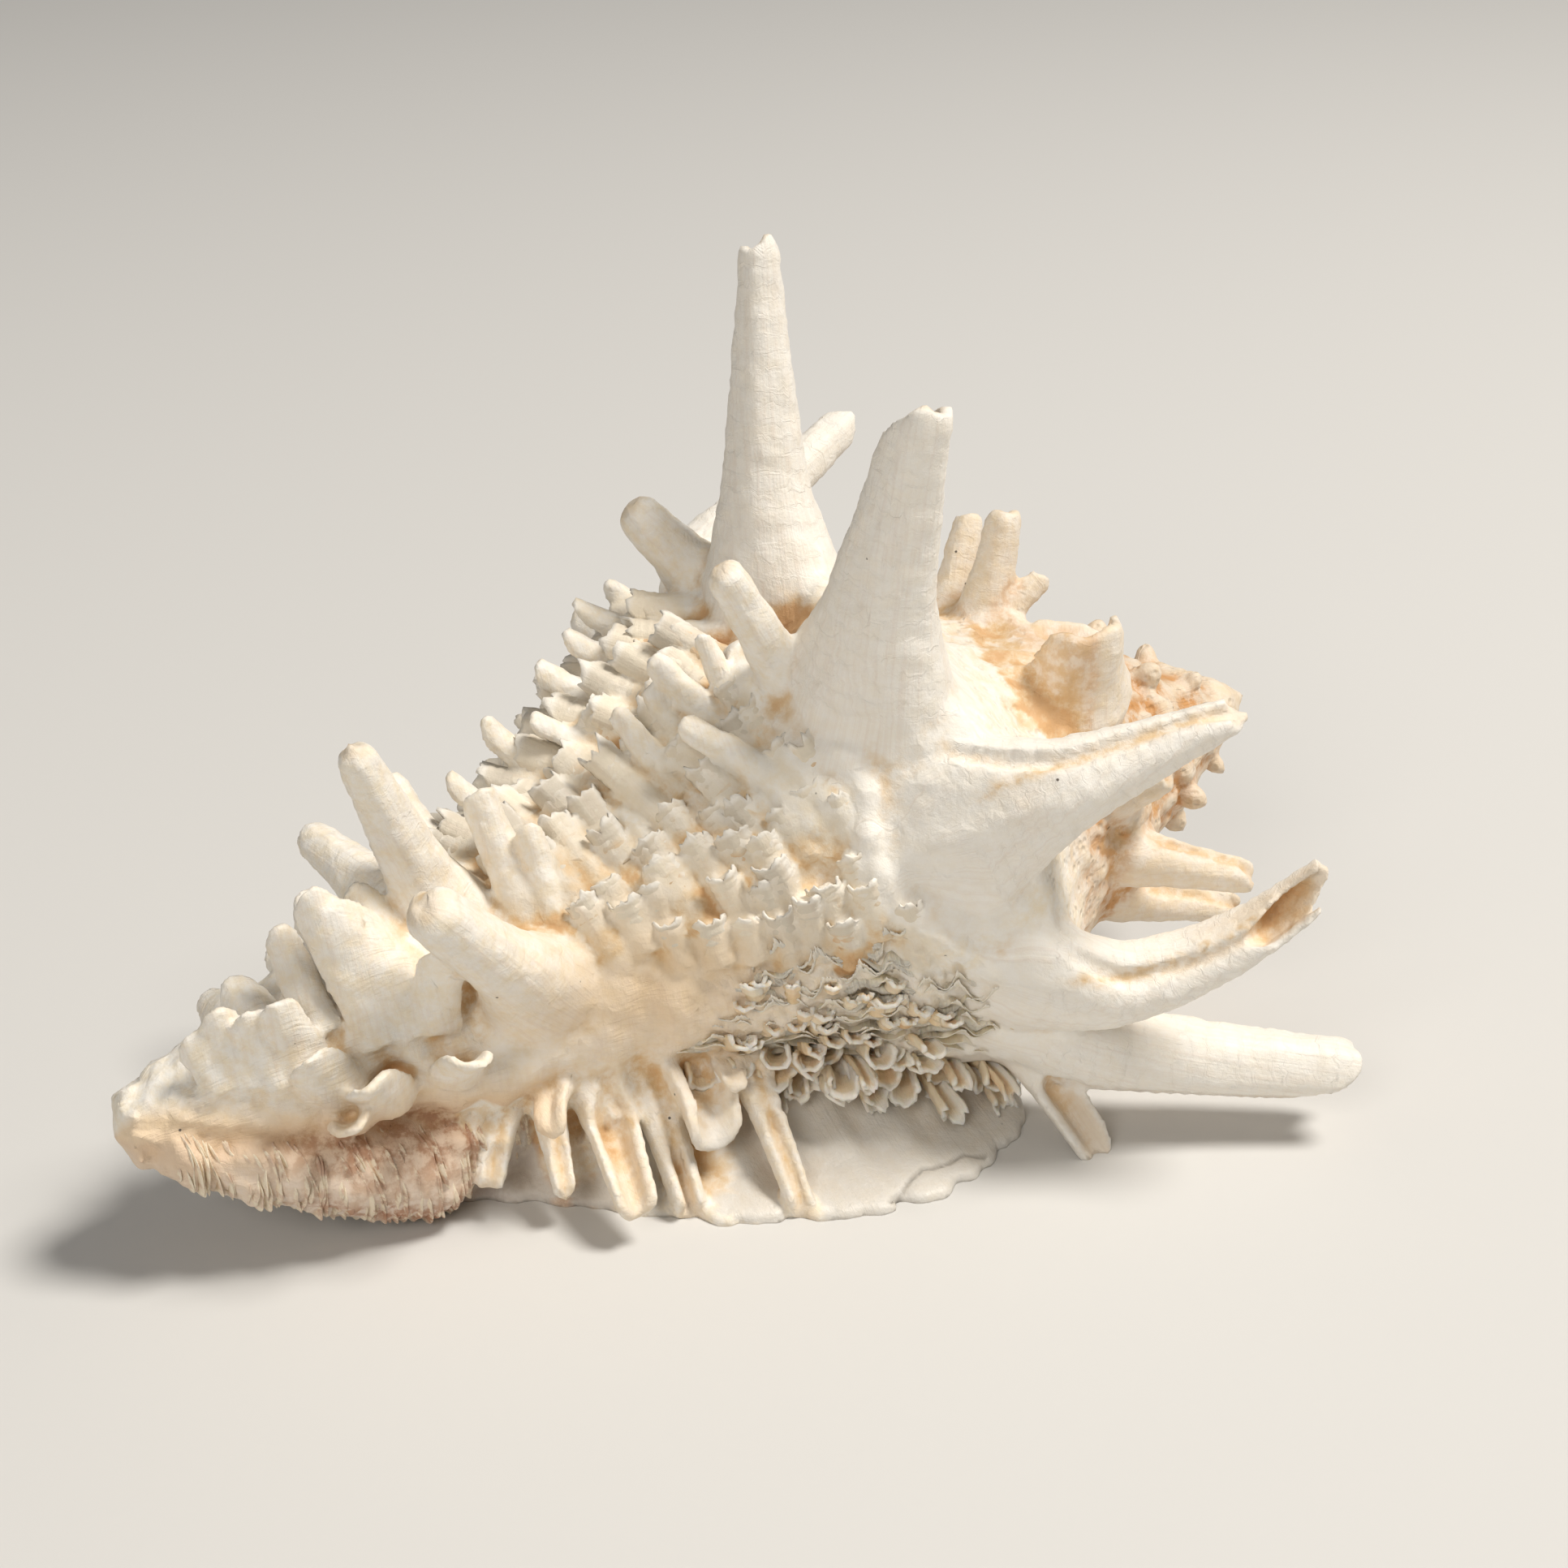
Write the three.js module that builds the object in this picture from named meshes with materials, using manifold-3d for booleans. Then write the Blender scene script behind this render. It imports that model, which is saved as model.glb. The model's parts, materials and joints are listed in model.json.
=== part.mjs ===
// A spiny vase shell lying on its opening, canal tip to the left and apex to the right rear.
// Millimetres, Z up. The floor is Z 0 and the origin is under the middle of the shell.

import * as THREE from "three";
import { mergeVertices } from "three/addons/utils/BufferGeometryUtils.js";
import Module from "manifold-3d";

const wasm = await Module();
wasm.setup();

// How the shell lies: where the tip of its canal is, and which way its axis runs from there.
const CANAL_TIP = new THREE.Vector3(-47.5, -33.7, 12);
const AXIS_HEADING = 29;
const AXIS_RISE = 7;

// The coil. It shrinks towards the apex by the same factor in every turn.
const SHELL_LENGTH = 108;
const GROWTH_PER_TURN = 1.65;
const LIP_RADIUS = 31;
const LIP_TO_APEX = 53.5;
const LIP_TURN = 220;
const SPIRE_TURNS = 4;

// Body whorl from the canal (0) to the shoulder (1), as radius at the lip.
const BODY_PROFILE = [
  [0, 2.8], [0.08, 4.6], [0.2, 6.6], [0.35, 8.4], [0.5, 10.6],
  [0.62, 13.4], [0.74, 17.6], [0.86, 23.8], [0.95, 29], [1, 31],
];

// One turn of the spire from its shoulder inwards: distance from the apex and radius, both
// as a share of the shoulder's own.
const RAMP_PROFILE = [[1, 1], [0.95, 0.94], [0.8, 0.73], [0.67, 0.61]];

const COLUMNS = 27;

// Hollow tube spines of the shoulder. Each has its turn round the axis, length, lean towards the
// apex, swing forward with the growth, sweep of its outer half, and width at root and tip.
const SHOULDER_SPINES = [
  { turn: 206, long: 13, lean: 45, swing: 0, sweep: 0, root: 7, tip: 2.6 },
  { turn: 174, long: 21, lean: 55, swing: 0, sweep: 0.1, root: 8, tip: 2.8 },
  { turn: 140, long: 24, lean: 62, swing: 0, sweep: 0, root: 8, tip: 2.4 },
  { turn: 99, long: 27, lean: 8, swing: 0, sweep: 0, root: 11, tip: 3.2 },
  { turn: 68, long: 21, lean: 9, swing: 12, sweep: 0, root: 11, tip: 4.6 },
  { turn: 36, long: 24, lean: 54, swing: -8, sweep: 0, root: 13, tip: 2.4 },
  { turn: -4, long: 25, lean: 52, swing: -24, sweep: 0.55, root: 8, tip: 3.6 },
  { turn: -31, long: 26, lean: 58, swing: -8, sweep: 0.12, root: 7, tip: 4 },
  { turn: -44, long: 10, lean: -6, swing: -25, sweep: 0, root: 5, tip: 3.2 },
];

// Tube spines lower on the body whorl, with their place from canal (0) to shoulder (1).
const BODY_SPINES = [
  { along: 0.95, turn: 190, long: 7, lean: -15, swing: 10, sweep: 0, root: 5, tip: 3 },
  { along: 0.95, turn: 154, long: 7, lean: -10, swing: 10, sweep: 0, root: 5, tip: 3 },
  { along: 0.95, turn: 114, long: 9, lean: -28, swing: 0, sweep: 0, root: 5, tip: 3.6 },
  { along: 0.89, turn: 72, long: 13, lean: -22, swing: 18, sweep: 0, root: 5, tip: 3 },
  { along: 0.46, turn: 192, long: 10, lean: -15, swing: 10, sweep: 0, root: 6, tip: 3 },
  { along: 0.46, turn: 156, long: 13, lean: -15, swing: 10, sweep: 0, root: 7, tip: 3 },
  { along: 0.47, turn: 118, long: 9, lean: -6, swing: 10, sweep: 0, root: 7, tip: 4.5 },
  { along: 0.43, turn: 84, long: 18, lean: -15, swing: 0, sweep: 0, root: 8, tip: 2.8 },
  { along: 0.49, turn: 66, long: 12, lean: -12, swing: 10, sweep: 0, root: 5, tip: 3 },
  { along: 0.47, turn: 28, long: 15, lean: -34, swing: 50, sweep: 0, root: 7, tip: 4.6 },
  { along: 0.47, turn: 0, long: 6, lean: -10, swing: 20, sweep: 0, root: 6, tip: 4.4 },
  { along: 0.6, turn: -46, long: 9, lean: -5, swing: 0, sweep: 0, root: 7, tip: 5 },
  { along: 0.5, turn: -56, long: 9, lean: 10, swing: 0, sweep: 0, root: 5, tip: 3 },
  { along: 0.67, turn: -54, long: 10, lean: 12, swing: 0, sweep: 0, root: 4, tip: 2.4 },
  { along: 0.3, turn: 176, long: 7, lean: -12, swing: 10, sweep: 0, root: 5, tip: 3 },
  { along: 0.3, turn: 132, long: 6, lean: -6, swing: 10, sweep: 0, root: 6, tip: 3 },
  { along: 0.32, turn: 92, long: 6, lean: -6, swing: 10, sweep: 0, root: 6, tip: 3.4 },
  { along: 0.28, turn: 44, long: 12, lean: -14, swing: 30, sweep: 0, root: 5, tip: 2.6 },
  { along: 0.34, turn: 20, long: 13, lean: -26, swing: 50, sweep: 0, root: 6.5, tip: 4 },
  { along: 0.34, turn: -4, long: 6, lean: -5, swing: 30, sweep: 0, root: 5, tip: 3.4 },
  { along: 0.18, turn: 60, long: 4, lean: -6, swing: 25, sweep: 0, root: 5, tip: 3.4 },
  { along: 0.13, turn: 30, long: 4, lean: -15, swing: 30, sweep: 0, root: 5, tip: 3.4 },
  { along: 0.21, turn: 14, long: 6, lean: -18, swing: 35, sweep: 0, root: 5, tip: 3.6 },
  { along: 0.23, turn: -16, long: 5, lean: -18, swing: 35, sweep: 0, root: 5, tip: 3.6 },
];

// Spines left on the shoulder of the turn before.
const SPIRE_SPINES = [
  { turn: 170, long: 7, lean: 35, swing: 0, sweep: 0, root: 4.5, tip: 2.4 },
  { turn: 140, long: 7, lean: 30, swing: 0, sweep: 0, root: 4.5, tip: 2.4 },
  { turn: 112, long: 8, lean: 12, swing: 0, sweep: 0, root: 5, tip: 3 },
  { turn: 84, long: 10, lean: 8, swing: 0, sweep: 0, root: 5, tip: 2.8 },
  { turn: 58, long: 7, lean: 14, swing: 0, sweep: 0, root: 6.5, tip: 5 },
  { turn: 22, long: 4, lean: 40, swing: 0, sweep: 0, root: 5, tip: 3 },
  { turn: -12, long: 10, lean: 54, swing: 0, sweep: 0, root: 4.5, tip: 2.8 },
  { turn: -36, long: 9, lean: 66, swing: 0, sweep: 0, root: 4.5, tip: 3 },
];

// Blunt knobs on the shoulders of the oldest turns: turns back from the lip, knobs and length.
const KNOBS = [[2, 8, 2.6], [3, 6, 1.6]];

// How far a tube spine's wall goes round from its back, in degrees.
const SPINE_ARC = 130;

// Spiral cords of overlapping scales, by their place from canal to shoulder.
const CORDS = [0.97, 0.9, 0.83, 0.76, 0.69, 0.62, 0.54];
const CORD_FIRST_TURN = -56;
const CORD_LAST_TURN = 205;
const SCALES_PER_CORD = 14;
const SCALE_WIDTH = 3.4;

// Rough ridge that winds down the near side of the canal: place along the axis, turn, distance
// out from the axis, and half its thickness.
const FASCIOLE = [
  [1, -30, 2, 1.6], [6, -45, 5, 3], [13, -60, 8, 4.4], [21, -70, 9.6, 5.2], [29, -84, 9.5, 5], [36, -104, 8, 4],
];

// Callus that the shell lies on: place along the axis, reach of its edge towards the viewer, and
// of its other edge beside the opening.
const CALLUS = [
  [22, 3, -3], [30, 8, -5], [37, 14, -6], [44, 19, -7], [52, 22.5, -8],
  [58, 24, -9], [65, 22, -9], [71, 18, -5], [75, 12, 2],
];
const CALLUS_EDGE = 1.6;

// Opening on the underside: place along the axis, and its two edges away from the viewer.
const OPENING = [
  [4, -1.5, -3.5], [14, -2.5, -5.5], [24, -4, -8], [34, -5.5, -12],
  [44, -7, -16.5], [51, -8.5, -18.5], [57, -10, -19], [63, -13, -17],
];
const OPENING_LEVELS = [[-3, 1], [8, 0.95], [17, 0.8], [25, 0.5]];

const radians = THREE.MathUtils.degToRad;
const lerp = THREE.MathUtils.lerp;

const apexward = new THREE.Vector3(
  Math.cos(radians(AXIS_HEADING)) * Math.cos(radians(AXIS_RISE)),
  Math.sin(radians(AXIS_HEADING)) * Math.cos(radians(AXIS_RISE)),
  Math.sin(radians(AXIS_RISE)),
);
const near = new THREE.Vector3(Math.sin(radians(AXIS_HEADING)), -Math.cos(radians(AXIS_HEADING)), 0);
const top = new THREE.Vector3().crossVectors(near, apexward);

// Value of a two-column profile at x, straight between its rows.
function profileAt(profile, x) {
  let k = 1;
  while (k < profile.length - 1 && profile[k][0] < x) k += 1;
  const [x0, y0] = profile[k - 1];
  const [x1, y1] = profile[k];
  return lerp(y0, y1, (x - x0) / (x1 - x0));
}

// Outward direction at a turn round the axis: 0 is towards the viewer, 90 is up.
function outward(turn) {
  const away = near.clone().multiplyScalar(Math.cos(radians(turn)));
  return away.addScaledVector(top, Math.sin(radians(turn)));
}

function onShell(distance, turn, radius) {
  const point = CANAL_TIP.clone().addScaledVector(apexward, distance);
  return point.addScaledVector(outward(turn), radius);
}

// Size of the coil at a turn, as a share of its size at the lip.
function coilSize(turn) {
  return GROWTH_PER_TURN ** ((turn - LIP_TURN) / 360);
}

// Point of the body whorl between canal (0) and shoulder (1).
function bodyPoint(turn, along) {
  const size = coilSize(turn);
  const shoulder = SHELL_LENGTH - LIP_TO_APEX * size;
  const radius = profileAt(BODY_PROFILE, along) * lerp(1, size, along * along);
  return onShell(along * shoulder, turn, radius);
}

// Point of the ramp or spire, given as shares of the shoulder's distance and radius.
function spirePoint(turn, share, radiusShare) {
  const size = coilSize(turn);
  return onShell(SHELL_LENGTH - LIP_TO_APEX * size * share, turn, LIP_RADIUS * size * radiusShare);
}

// Closed solid from a list of points and triangles.
function solid(points, triangles) {
  const geometry = new THREE.BufferGeometry();
  const flat = points.flatMap((p) => [p.x, p.y, p.z]);
  geometry.setAttribute("position", new THREE.Float32BufferAttribute(flat, 3));
  geometry.setIndex(triangles);
  const merged = mergeVertices(geometry, 1e-4);
  const vertProperties = new Float32Array(merged.attributes.position.array);
  const triVerts = new Uint32Array(merged.index.array);
  return new wasm.Manifold(new wasm.Mesh({ numProp: 3, vertProperties, triVerts }));
}

// The coiled body, as columns of points from canal to apex that run round the axis back from the
// lip. The last column meets the first one turn further in, so the step between is the lip.
function coiledBody() {
  const bodyRows = BODY_PROFILE.length;
  const rowsPerTurn = RAMP_PROFILE.length;
  const rows = bodyRows + SPIRE_TURNS * rowsPerTurn;
  const points = [];
  for (let c = 0; c <= COLUMNS; c += 1) {
    const turn = LIP_TURN - 359 * (c / COLUMNS);
    for (const [along] of BODY_PROFILE) points.push(bodyPoint(turn, along));
    for (let k = 1; k <= SPIRE_TURNS * rowsPerTurn; k += 1) {
      const [share, radiusShare] = RAMP_PROFILE[k % rowsPerTurn];
      const shrink = GROWTH_PER_TURN ** -Math.floor(k / rowsPerTurn);
      points.push(spirePoint(turn, share * shrink, radiusShare * shrink));
    }
  }
  const canalEnd = points.push(onShell(-1, 0, 0)) - 1;
  const apex = points.push(onShell(SHELL_LENGTH - 2, 0, 0)) - 1;
  const triangles = [];
  for (let c = 0; c < COLUMNS; c += 1) {
    const here = c * rows;
    const next = here + rows;
    for (let k = 0; k < rows - 1; k += 1) {
      triangles.push(here + k, next + k, here + k + 1);
      triangles.push(next + k, next + k + 1, here + k + 1);
    }
    triangles.push(canalEnd, next, here);
    triangles.push(apex, here + rows - 1, next + rows - 1);
  }
  // The lip: its own column against the column of the wall that it stands on.
  const lip = [];
  const wall = [];
  const seam = bodyRows - 1 + rowsPerTurn;
  for (let k = 0; k < rows; k += 1) {
    lip.push(k <= seam ? k / seam : 1 + k - seam);
    wall.push(k < bodyRows ? k / (bodyRows - 1) : 2 + k - bodyRows);
  }
  const first = COLUMNS * rows;
  let a = 0;
  let b = 0;
  while (a < rows - 1 || b < rows - 1) {
    const step = a === rows - 1 || (b < rows - 1 && wall[b + 1] <= lip[a + 1]);
    if (step) {
      triangles.push(first + b, a, first + b + 1);
      b += 1;
    } else {
      triangles.push(first + b, a, a + 1);
      a += 1;
    }
  }
  triangles.push(canalEnd, 0, first);
  triangles.push(apex, first + rows - 1, rows - 1);
  return solid(points, triangles);
}


// Closed loft through rings of points. Every ring has an outer row and an inner row of equal
// length, and each end is closed by a strip between the two.
function loft(rings) {
  const count = rings[0].length;
  const half = count / 2;
  const triangles = [];
  for (let r = 0; r < rings.length - 1; r += 1) {
    for (let k = 0; k < count; k += 1) {
      const a = r * count + k;
      const b = r * count + ((k + 1) % count);
      triangles.push(a, a + count, b, b, a + count, b + count);
    }
  }
  const last = (rings.length - 1) * count;
  for (let k = 0; k < half - 1; k += 1) {
    const facing = count - 1 - k;
    triangles.push(k, k + 1, facing, k + 1, facing - 1, facing);
    triangles.push(last + k, last + facing, last + k + 1);
    triangles.push(last + k + 1, last + facing, last + facing - 1);
  }
  const made = solid(rings.flat(), triangles);
  return made.volume() > 0 ? made : solid(rings.flat(), triangles.reverse());
}

// Direction of a spine at its turn: out from the axis, swung forward and leant to the apex.
function spineDirection(turn, lean, swing) {
  const forward = outward(turn + 90);
  const direction = outward(turn).multiplyScalar(Math.cos(radians(lean)) * Math.cos(radians(swing)));
  direction.addScaledVector(forward, Math.cos(radians(lean)) * Math.sin(radians(swing)));
  return direction.addScaledVector(apexward, Math.sin(radians(lean)));
}

// Tube spine, open along the side that faces the growth and filled at its root.
function tubeSpine(root, spine, steps) {
  const forward = outward(spine.turn + 90);
  const direction = spineDirection(spine.turn, spine.lean, spine.swing);
  const across = new THREE.Vector3().crossVectors(forward, direction).normalize();
  const facing = new THREE.Vector3().crossVectors(direction, across).normalize();
  const mouth = -Math.cos(radians(SPINE_ARC));
  const rings = steps.map((s) => {
    const out = Math.max(0, s);
    const centre = root.clone().addScaledVector(direction, spine.long * s);
    centre.addScaledVector(forward, spine.long * spine.sweep * out ** 2);
    const half = lerp(spine.root, spine.tip, out ** 0.7) / 2;
    const bore = half / (half + 1);
    const hollow = THREE.MathUtils.smoothstep(s, 0.1, 0.7);
    const outer = [];
    const inner = [];
    for (const k of [-1, -0.4, 0.4, 1]) {
      const side = Math.sin(radians(k * SPINE_ARC)) * half;
      const back = -Math.cos(radians(k * SPINE_ARC)) * half;
      const deep = lerp(mouth * half, back * bore, hollow);
      outer.push(centre.clone().addScaledVector(across, side).addScaledVector(facing, back));
      inner.unshift(centre.clone().addScaledVector(across, side * bore).addScaledVector(facing, deep));
    }
    return outer.concat(inner);
  });
  return loft(rings);
}

// Arched scale with its free edge forward and out, or a knob where it stands steeply.
function scale(root, turn, long, wide, rise) {
  const direction = spineDirection(turn, -18, 90 - rise);
  const up = new THREE.Vector3().crossVectors(apexward, direction).normalize();
  const rings = [-0.8, 1].map((s) => {
    const centre = root.clone().addScaledVector(direction, long * s);
    const high = wide * (s < 0 ? 0.1 : 0.4);
    const low = wide * (s < 0 ? -0.48 : -0.15);
    const corner = (side, height) =>
      centre.clone().addScaledVector(apexward, side * wide).addScaledVector(up, height);
    return [corner(-0.5, low), corner(-0.26, high), corner(0.26, high), corner(0.5, low)];
  });
  return loft(rings);
}

// Ridge with a six-sided section along a line of places round the axis.
function ridge(line) {
  const rings = line.map(([distance, turn, radius, half]) => {
    const corner = (angle) => {
      const out = Math.cos(radians(angle)) * half;
      const round = (Math.sin(radians(angle)) * half) / Math.max(radius, 3);
      return onShell(distance, turn + THREE.MathUtils.radToDeg(round), radius + out);
    };
    return [0, 60, 120, 180, 240, 300].map(corner);
  });
  return loft(rings);
}

// Point over the floor: place along the axis, distance from it towards the viewer, and height.
function overFloor(distance, reach, height) {
  const point = onShell(distance, 0, reach);
  point.z = height;
  return point;
}

function callus() {
  const rings = CALLUS.map(([distance, reach, back]) => [
    overFloor(distance, back, -1),
    overFloor(distance, reach, -1),
    overFloor(distance, reach, CALLUS_EDGE),
    overFloor(distance, lerp(back, reach, 0.86), CALLUS_EDGE + 1.6),
    overFloor(distance, lerp(back, reach, 0.66), CALLUS_EDGE + 6),
    overFloor(distance, back, CALLUS_EDGE + 9),
  ]);
  return loft(rings);
}

function opening() {
  const rings = OPENING_LEVELS.map(([height, size]) => {
    const middle = (edge, other) => lerp((edge + other) / 2, edge, size);
    const centre = 40;
    const along = (distance) => lerp(centre, distance, size);
    const nearSide = OPENING.map(([d, n, f]) => overFloor(along(d), middle(n, f), height));
    const farSide = OPENING.map(([d, n, f]) => overFloor(along(d), middle(f, n), height));
    return nearSide.concat(farSide.reverse());
  });
  return loft(rings);
}

// Floor under the shell, to grind flat what would reach below it.
function underFloor() {
  const slab = new THREE.BoxGeometry(300, 300, 50).translate(0, 0, -25);
  slab.deleteAttribute("normal");
  slab.deleteAttribute("uv");
  const merged = mergeVertices(slab);
  const vertProperties = new Float32Array(merged.attributes.position.array);
  const triVerts = new Uint32Array(merged.index.array);
  return new wasm.Manifold(new wasm.Mesh({ numProp: 3, vertProperties, triVerts }));
}

const grown = [coiledBody(), ridge(FASCIOLE), callus()];
for (const spine of SHOULDER_SPINES) {
  grown.push(tubeSpine(bodyPoint(spine.turn, 0.985), spine, [-0.2, 0.2, 0.55, 1]));
}
for (const spine of BODY_SPINES) {
  grown.push(tubeSpine(bodyPoint(spine.turn, spine.along), spine, [-0.25, 0.4, 1]));
}
for (const spine of SPIRE_SPINES) {
  grown.push(tubeSpine(spirePoint(spine.turn - 360, 1, 1), spine, [-0.25, 0.4, 1]));
}
for (const [back, count, long] of KNOBS) {
  for (let k = 0; k < count; k += 1) {
    const turn = LIP_TURN - 360 * (back + k / count);
    grown.push(scale(spirePoint(turn, 1, 1), turn, long, long, 60));
  }
}
for (const [row, along] of CORDS.entries()) {
  for (let k = 0; k < SCALES_PER_CORD; k += 1) {
    const turn = lerp(CORD_FIRST_TURN, CORD_LAST_TURN, (k + (row % 2) * 0.5) / SCALES_PER_CORD);
    const upper = THREE.MathUtils.smoothstep(turn, 30, 100);
    const lower = THREE.MathUtils.smoothstep(-turn, 10, 50);
    const long = 3.2 + 1.4 * upper + 1.5 * lower;
    const rise = 22 + 22 * upper + 50 * lower;
    grown.push(scale(bodyPoint(turn, along), turn, long, SCALE_WIDTH, rise));
  }
}

// The crowded scales close off a few pockets, and only the outer body is kept.
const whole = wasm.Manifold.union(grown).subtract(opening()).subtract(underFloor());
const shell = whole.decompose().sort((a, b) => b.volume() - a.volume())[0];

const faces = shell.getMesh();
const geometry = new THREE.BufferGeometry();
geometry.setAttribute("position", new THREE.Float32BufferAttribute(faces.vertProperties, 3));
geometry.setIndex(Array.from(faces.triVerts));
geometry.computeVertexNormals();

const mesh = new THREE.Mesh(geometry, new THREE.MeshStandardMaterial({ color: "#e6dac6", roughness: 0.65 }));
mesh.name = "shell";

const part = new THREE.Group();
part.add(mesh);

export default part;
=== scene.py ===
# %% [markdown]
# # A spiny vase shell
# The real shell grew as one piece: a coil that widens by the same factor in every turn, with hollow
# tube spines on its shoulder and rows of arched scales below them. This lesson repeats the coil in
# numpy, grows the spines and scales on it, and fuses them with Blender's own tools.

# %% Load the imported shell
import json

import bmesh
import bpy
import numpy as np
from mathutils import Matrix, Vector
from mathutils.kdtree import KDTree

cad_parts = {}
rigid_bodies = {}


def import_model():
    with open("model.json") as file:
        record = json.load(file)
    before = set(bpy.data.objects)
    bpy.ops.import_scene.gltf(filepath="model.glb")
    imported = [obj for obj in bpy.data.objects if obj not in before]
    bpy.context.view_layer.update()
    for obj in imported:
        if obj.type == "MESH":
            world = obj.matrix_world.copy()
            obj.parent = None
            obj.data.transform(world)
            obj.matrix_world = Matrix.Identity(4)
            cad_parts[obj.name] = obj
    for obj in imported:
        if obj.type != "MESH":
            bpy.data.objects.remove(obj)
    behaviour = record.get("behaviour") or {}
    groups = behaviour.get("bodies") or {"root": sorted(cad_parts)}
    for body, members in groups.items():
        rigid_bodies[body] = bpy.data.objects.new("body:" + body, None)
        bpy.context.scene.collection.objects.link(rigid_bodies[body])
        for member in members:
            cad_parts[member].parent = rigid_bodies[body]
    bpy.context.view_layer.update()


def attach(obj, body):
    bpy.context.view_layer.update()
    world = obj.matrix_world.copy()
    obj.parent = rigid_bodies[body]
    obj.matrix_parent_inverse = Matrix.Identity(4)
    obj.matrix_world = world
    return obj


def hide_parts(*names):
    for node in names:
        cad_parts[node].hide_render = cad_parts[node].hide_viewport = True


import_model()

MM = 0.001

# %% [markdown]
# ## The coil
# Every place on the shell is a distance along its axis from the canal tip, a turn round the axis and
# a radius. A turn of 0 faces the viewer and 90 is up, and the shell grows towards larger turns. The
# numbers are the ones of the solid, so what is made here lies on it without any fitting.

# %% Axis, growth and profiles
CANAL_TIP = np.array([-47.5, -33.7, 12.0])
AXIS_HEADING = np.radians(29)
AXIS_RISE = np.radians(7)
SHELL_LENGTH = 108.0
GROWTH_PER_TURN = 1.65
LIP_RADIUS = 31.0
LIP_TO_APEX = 53.5
LIP_TURN = 220.0
BODY_PROFILE = np.array([
    [0, 2.8], [0.08, 4.6], [0.2, 6.6], [0.35, 8.4], [0.5, 10.6],
    [0.62, 13.4], [0.74, 17.6], [0.86, 23.8], [0.95, 29], [1, 31],
])
RAMP_PROFILE = np.array([
    [1, 1], [0.95, 0.94], [0.8, 0.73], [0.67, 0.61], [1 / GROWTH_PER_TURN, 1 / GROWTH_PER_TURN],
])

APEXWARD = np.array([
    np.cos(AXIS_HEADING) * np.cos(AXIS_RISE),
    np.sin(AXIS_HEADING) * np.cos(AXIS_RISE),
    np.sin(AXIS_RISE),
])
NEAR = np.array([np.sin(AXIS_HEADING), -np.cos(AXIS_HEADING), 0.0])
TOP = np.cross(NEAR, APEXWARD)
print("the axis runs along", APEXWARD.round(2))

# %% [markdown]
# ## Ramps and places
# Most shapes below are blended by smooth ramps: smoothstep rises from 0 to 1, fade falls from 1 to 0, and a
# bell stands up around 0. The other functions turn a place on the shell into a point in millimetres, for one
# place or a whole array of them.

# %% Ramps and places on the coil
OVER_SHOULDER = 40.0
ROUNDING = 12
TURN_NUDGE, ALONG_NUDGE = 0.5, 0.004


def smoothstep(x, low, high):
    t = np.clip((np.asarray(x, float) - low) / (high - low), 0, 1)
    return t * t * (3 - 2 * t)


def fade(x, low, high):
    return 1 - smoothstep(x, low, high)


def bell(x):
    return np.exp(-np.square(x))


def lerp(a, b, t):
    return a + (b - a) * t


def unit(v):
    return v / np.linalg.norm(v, axis=-1, keepdims=True)


def row_dots(a, b):
    return np.einsum("ij,ij->i", a, b)


def outward(turn):
    angle = np.radians(np.asarray(turn, float))[..., None]
    return np.cos(angle) * NEAR + np.sin(angle) * TOP


def on_shell(distance, turn, radius):
    distance, turn, radius = np.broadcast_arrays(distance, turn, radius)
    return CANAL_TIP + distance[..., None] * APEXWARD + radius[..., None] * outward(turn)


def coil_size(turn):
    return GROWTH_PER_TURN ** ((np.asarray(turn, float) - LIP_TURN) / 360)


# The corners of the solid's profile are rounded here by a short running mean.
ALONG = np.linspace(-0.1, 1.1, 481)
RADIUS = np.interp(ALONG, *BODY_PROFILE.T)
RADIUS[ALONG > 1] += (ALONG[ALONG > 1] - 1) * OVER_SHOULDER
running_mean = np.ones(2 * ROUNDING + 1) / (2 * ROUNDING + 1)
RADIUS = np.convolve(np.pad(RADIUS, ROUNDING, mode="edge"), running_mean, mode="valid")


def wall_radius(turn, along):
    return np.interp(along, ALONG, RADIUS) * lerp(1, coil_size(turn), np.square(along))


def body_point(turn, along):
    """Place on the body whorl between canal (0) and shoulder (1)."""
    distance = along * (SHELL_LENGTH - LIP_TO_APEX * coil_size(turn))
    return on_shell(distance, turn, wall_radius(turn, along))


def body_frame(turn, along):
    """Place on the body whorl, with its directions of growth, towards the apex and outward."""
    here = body_point(turn, along)
    forward = unit(body_point(np.add(turn, TURN_NUDGE), along) - here)
    sideways = body_point(turn, np.add(along, ALONG_NUDGE)) - here
    normal = unit(np.cross(sideways, forward))
    return here, forward, np.cross(forward, normal), normal


def spire_point(turn, share, radius_share):
    size = coil_size(turn)
    return on_shell(SHELL_LENGTH - LIP_TO_APEX * size * share, turn, LIP_RADIUS * size * radius_share)


print("apex at", on_shell(SHELL_LENGTH, 0, 0).round(1), "shoulder at the top", body_point(90, 1.0).round(1))

# %% [markdown]
# ## Slant of the body whorl
# The spiral cords lie at equal steps along the sloping side, not along the axis. A table of the slant
# length against the place along the body gives both directions of that change.

# %% Slant length
CORD_STEP = 2.45
SLANT_TURN = 60.0
slant_side = body_point(SLANT_TURN, ALONG)
SLANT = np.concatenate([[0], np.cumsum(np.linalg.norm(np.diff(slant_side, axis=0), axis=1))])


def slant_at(along):
    return np.interp(along, ALONG, SLANT)


def along_at(slant):
    return np.interp(slant, SLANT, ALONG)


print("slant from canal to shoulder", round(float(slant_at(1) - slant_at(0)), 1), "mm")

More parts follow.
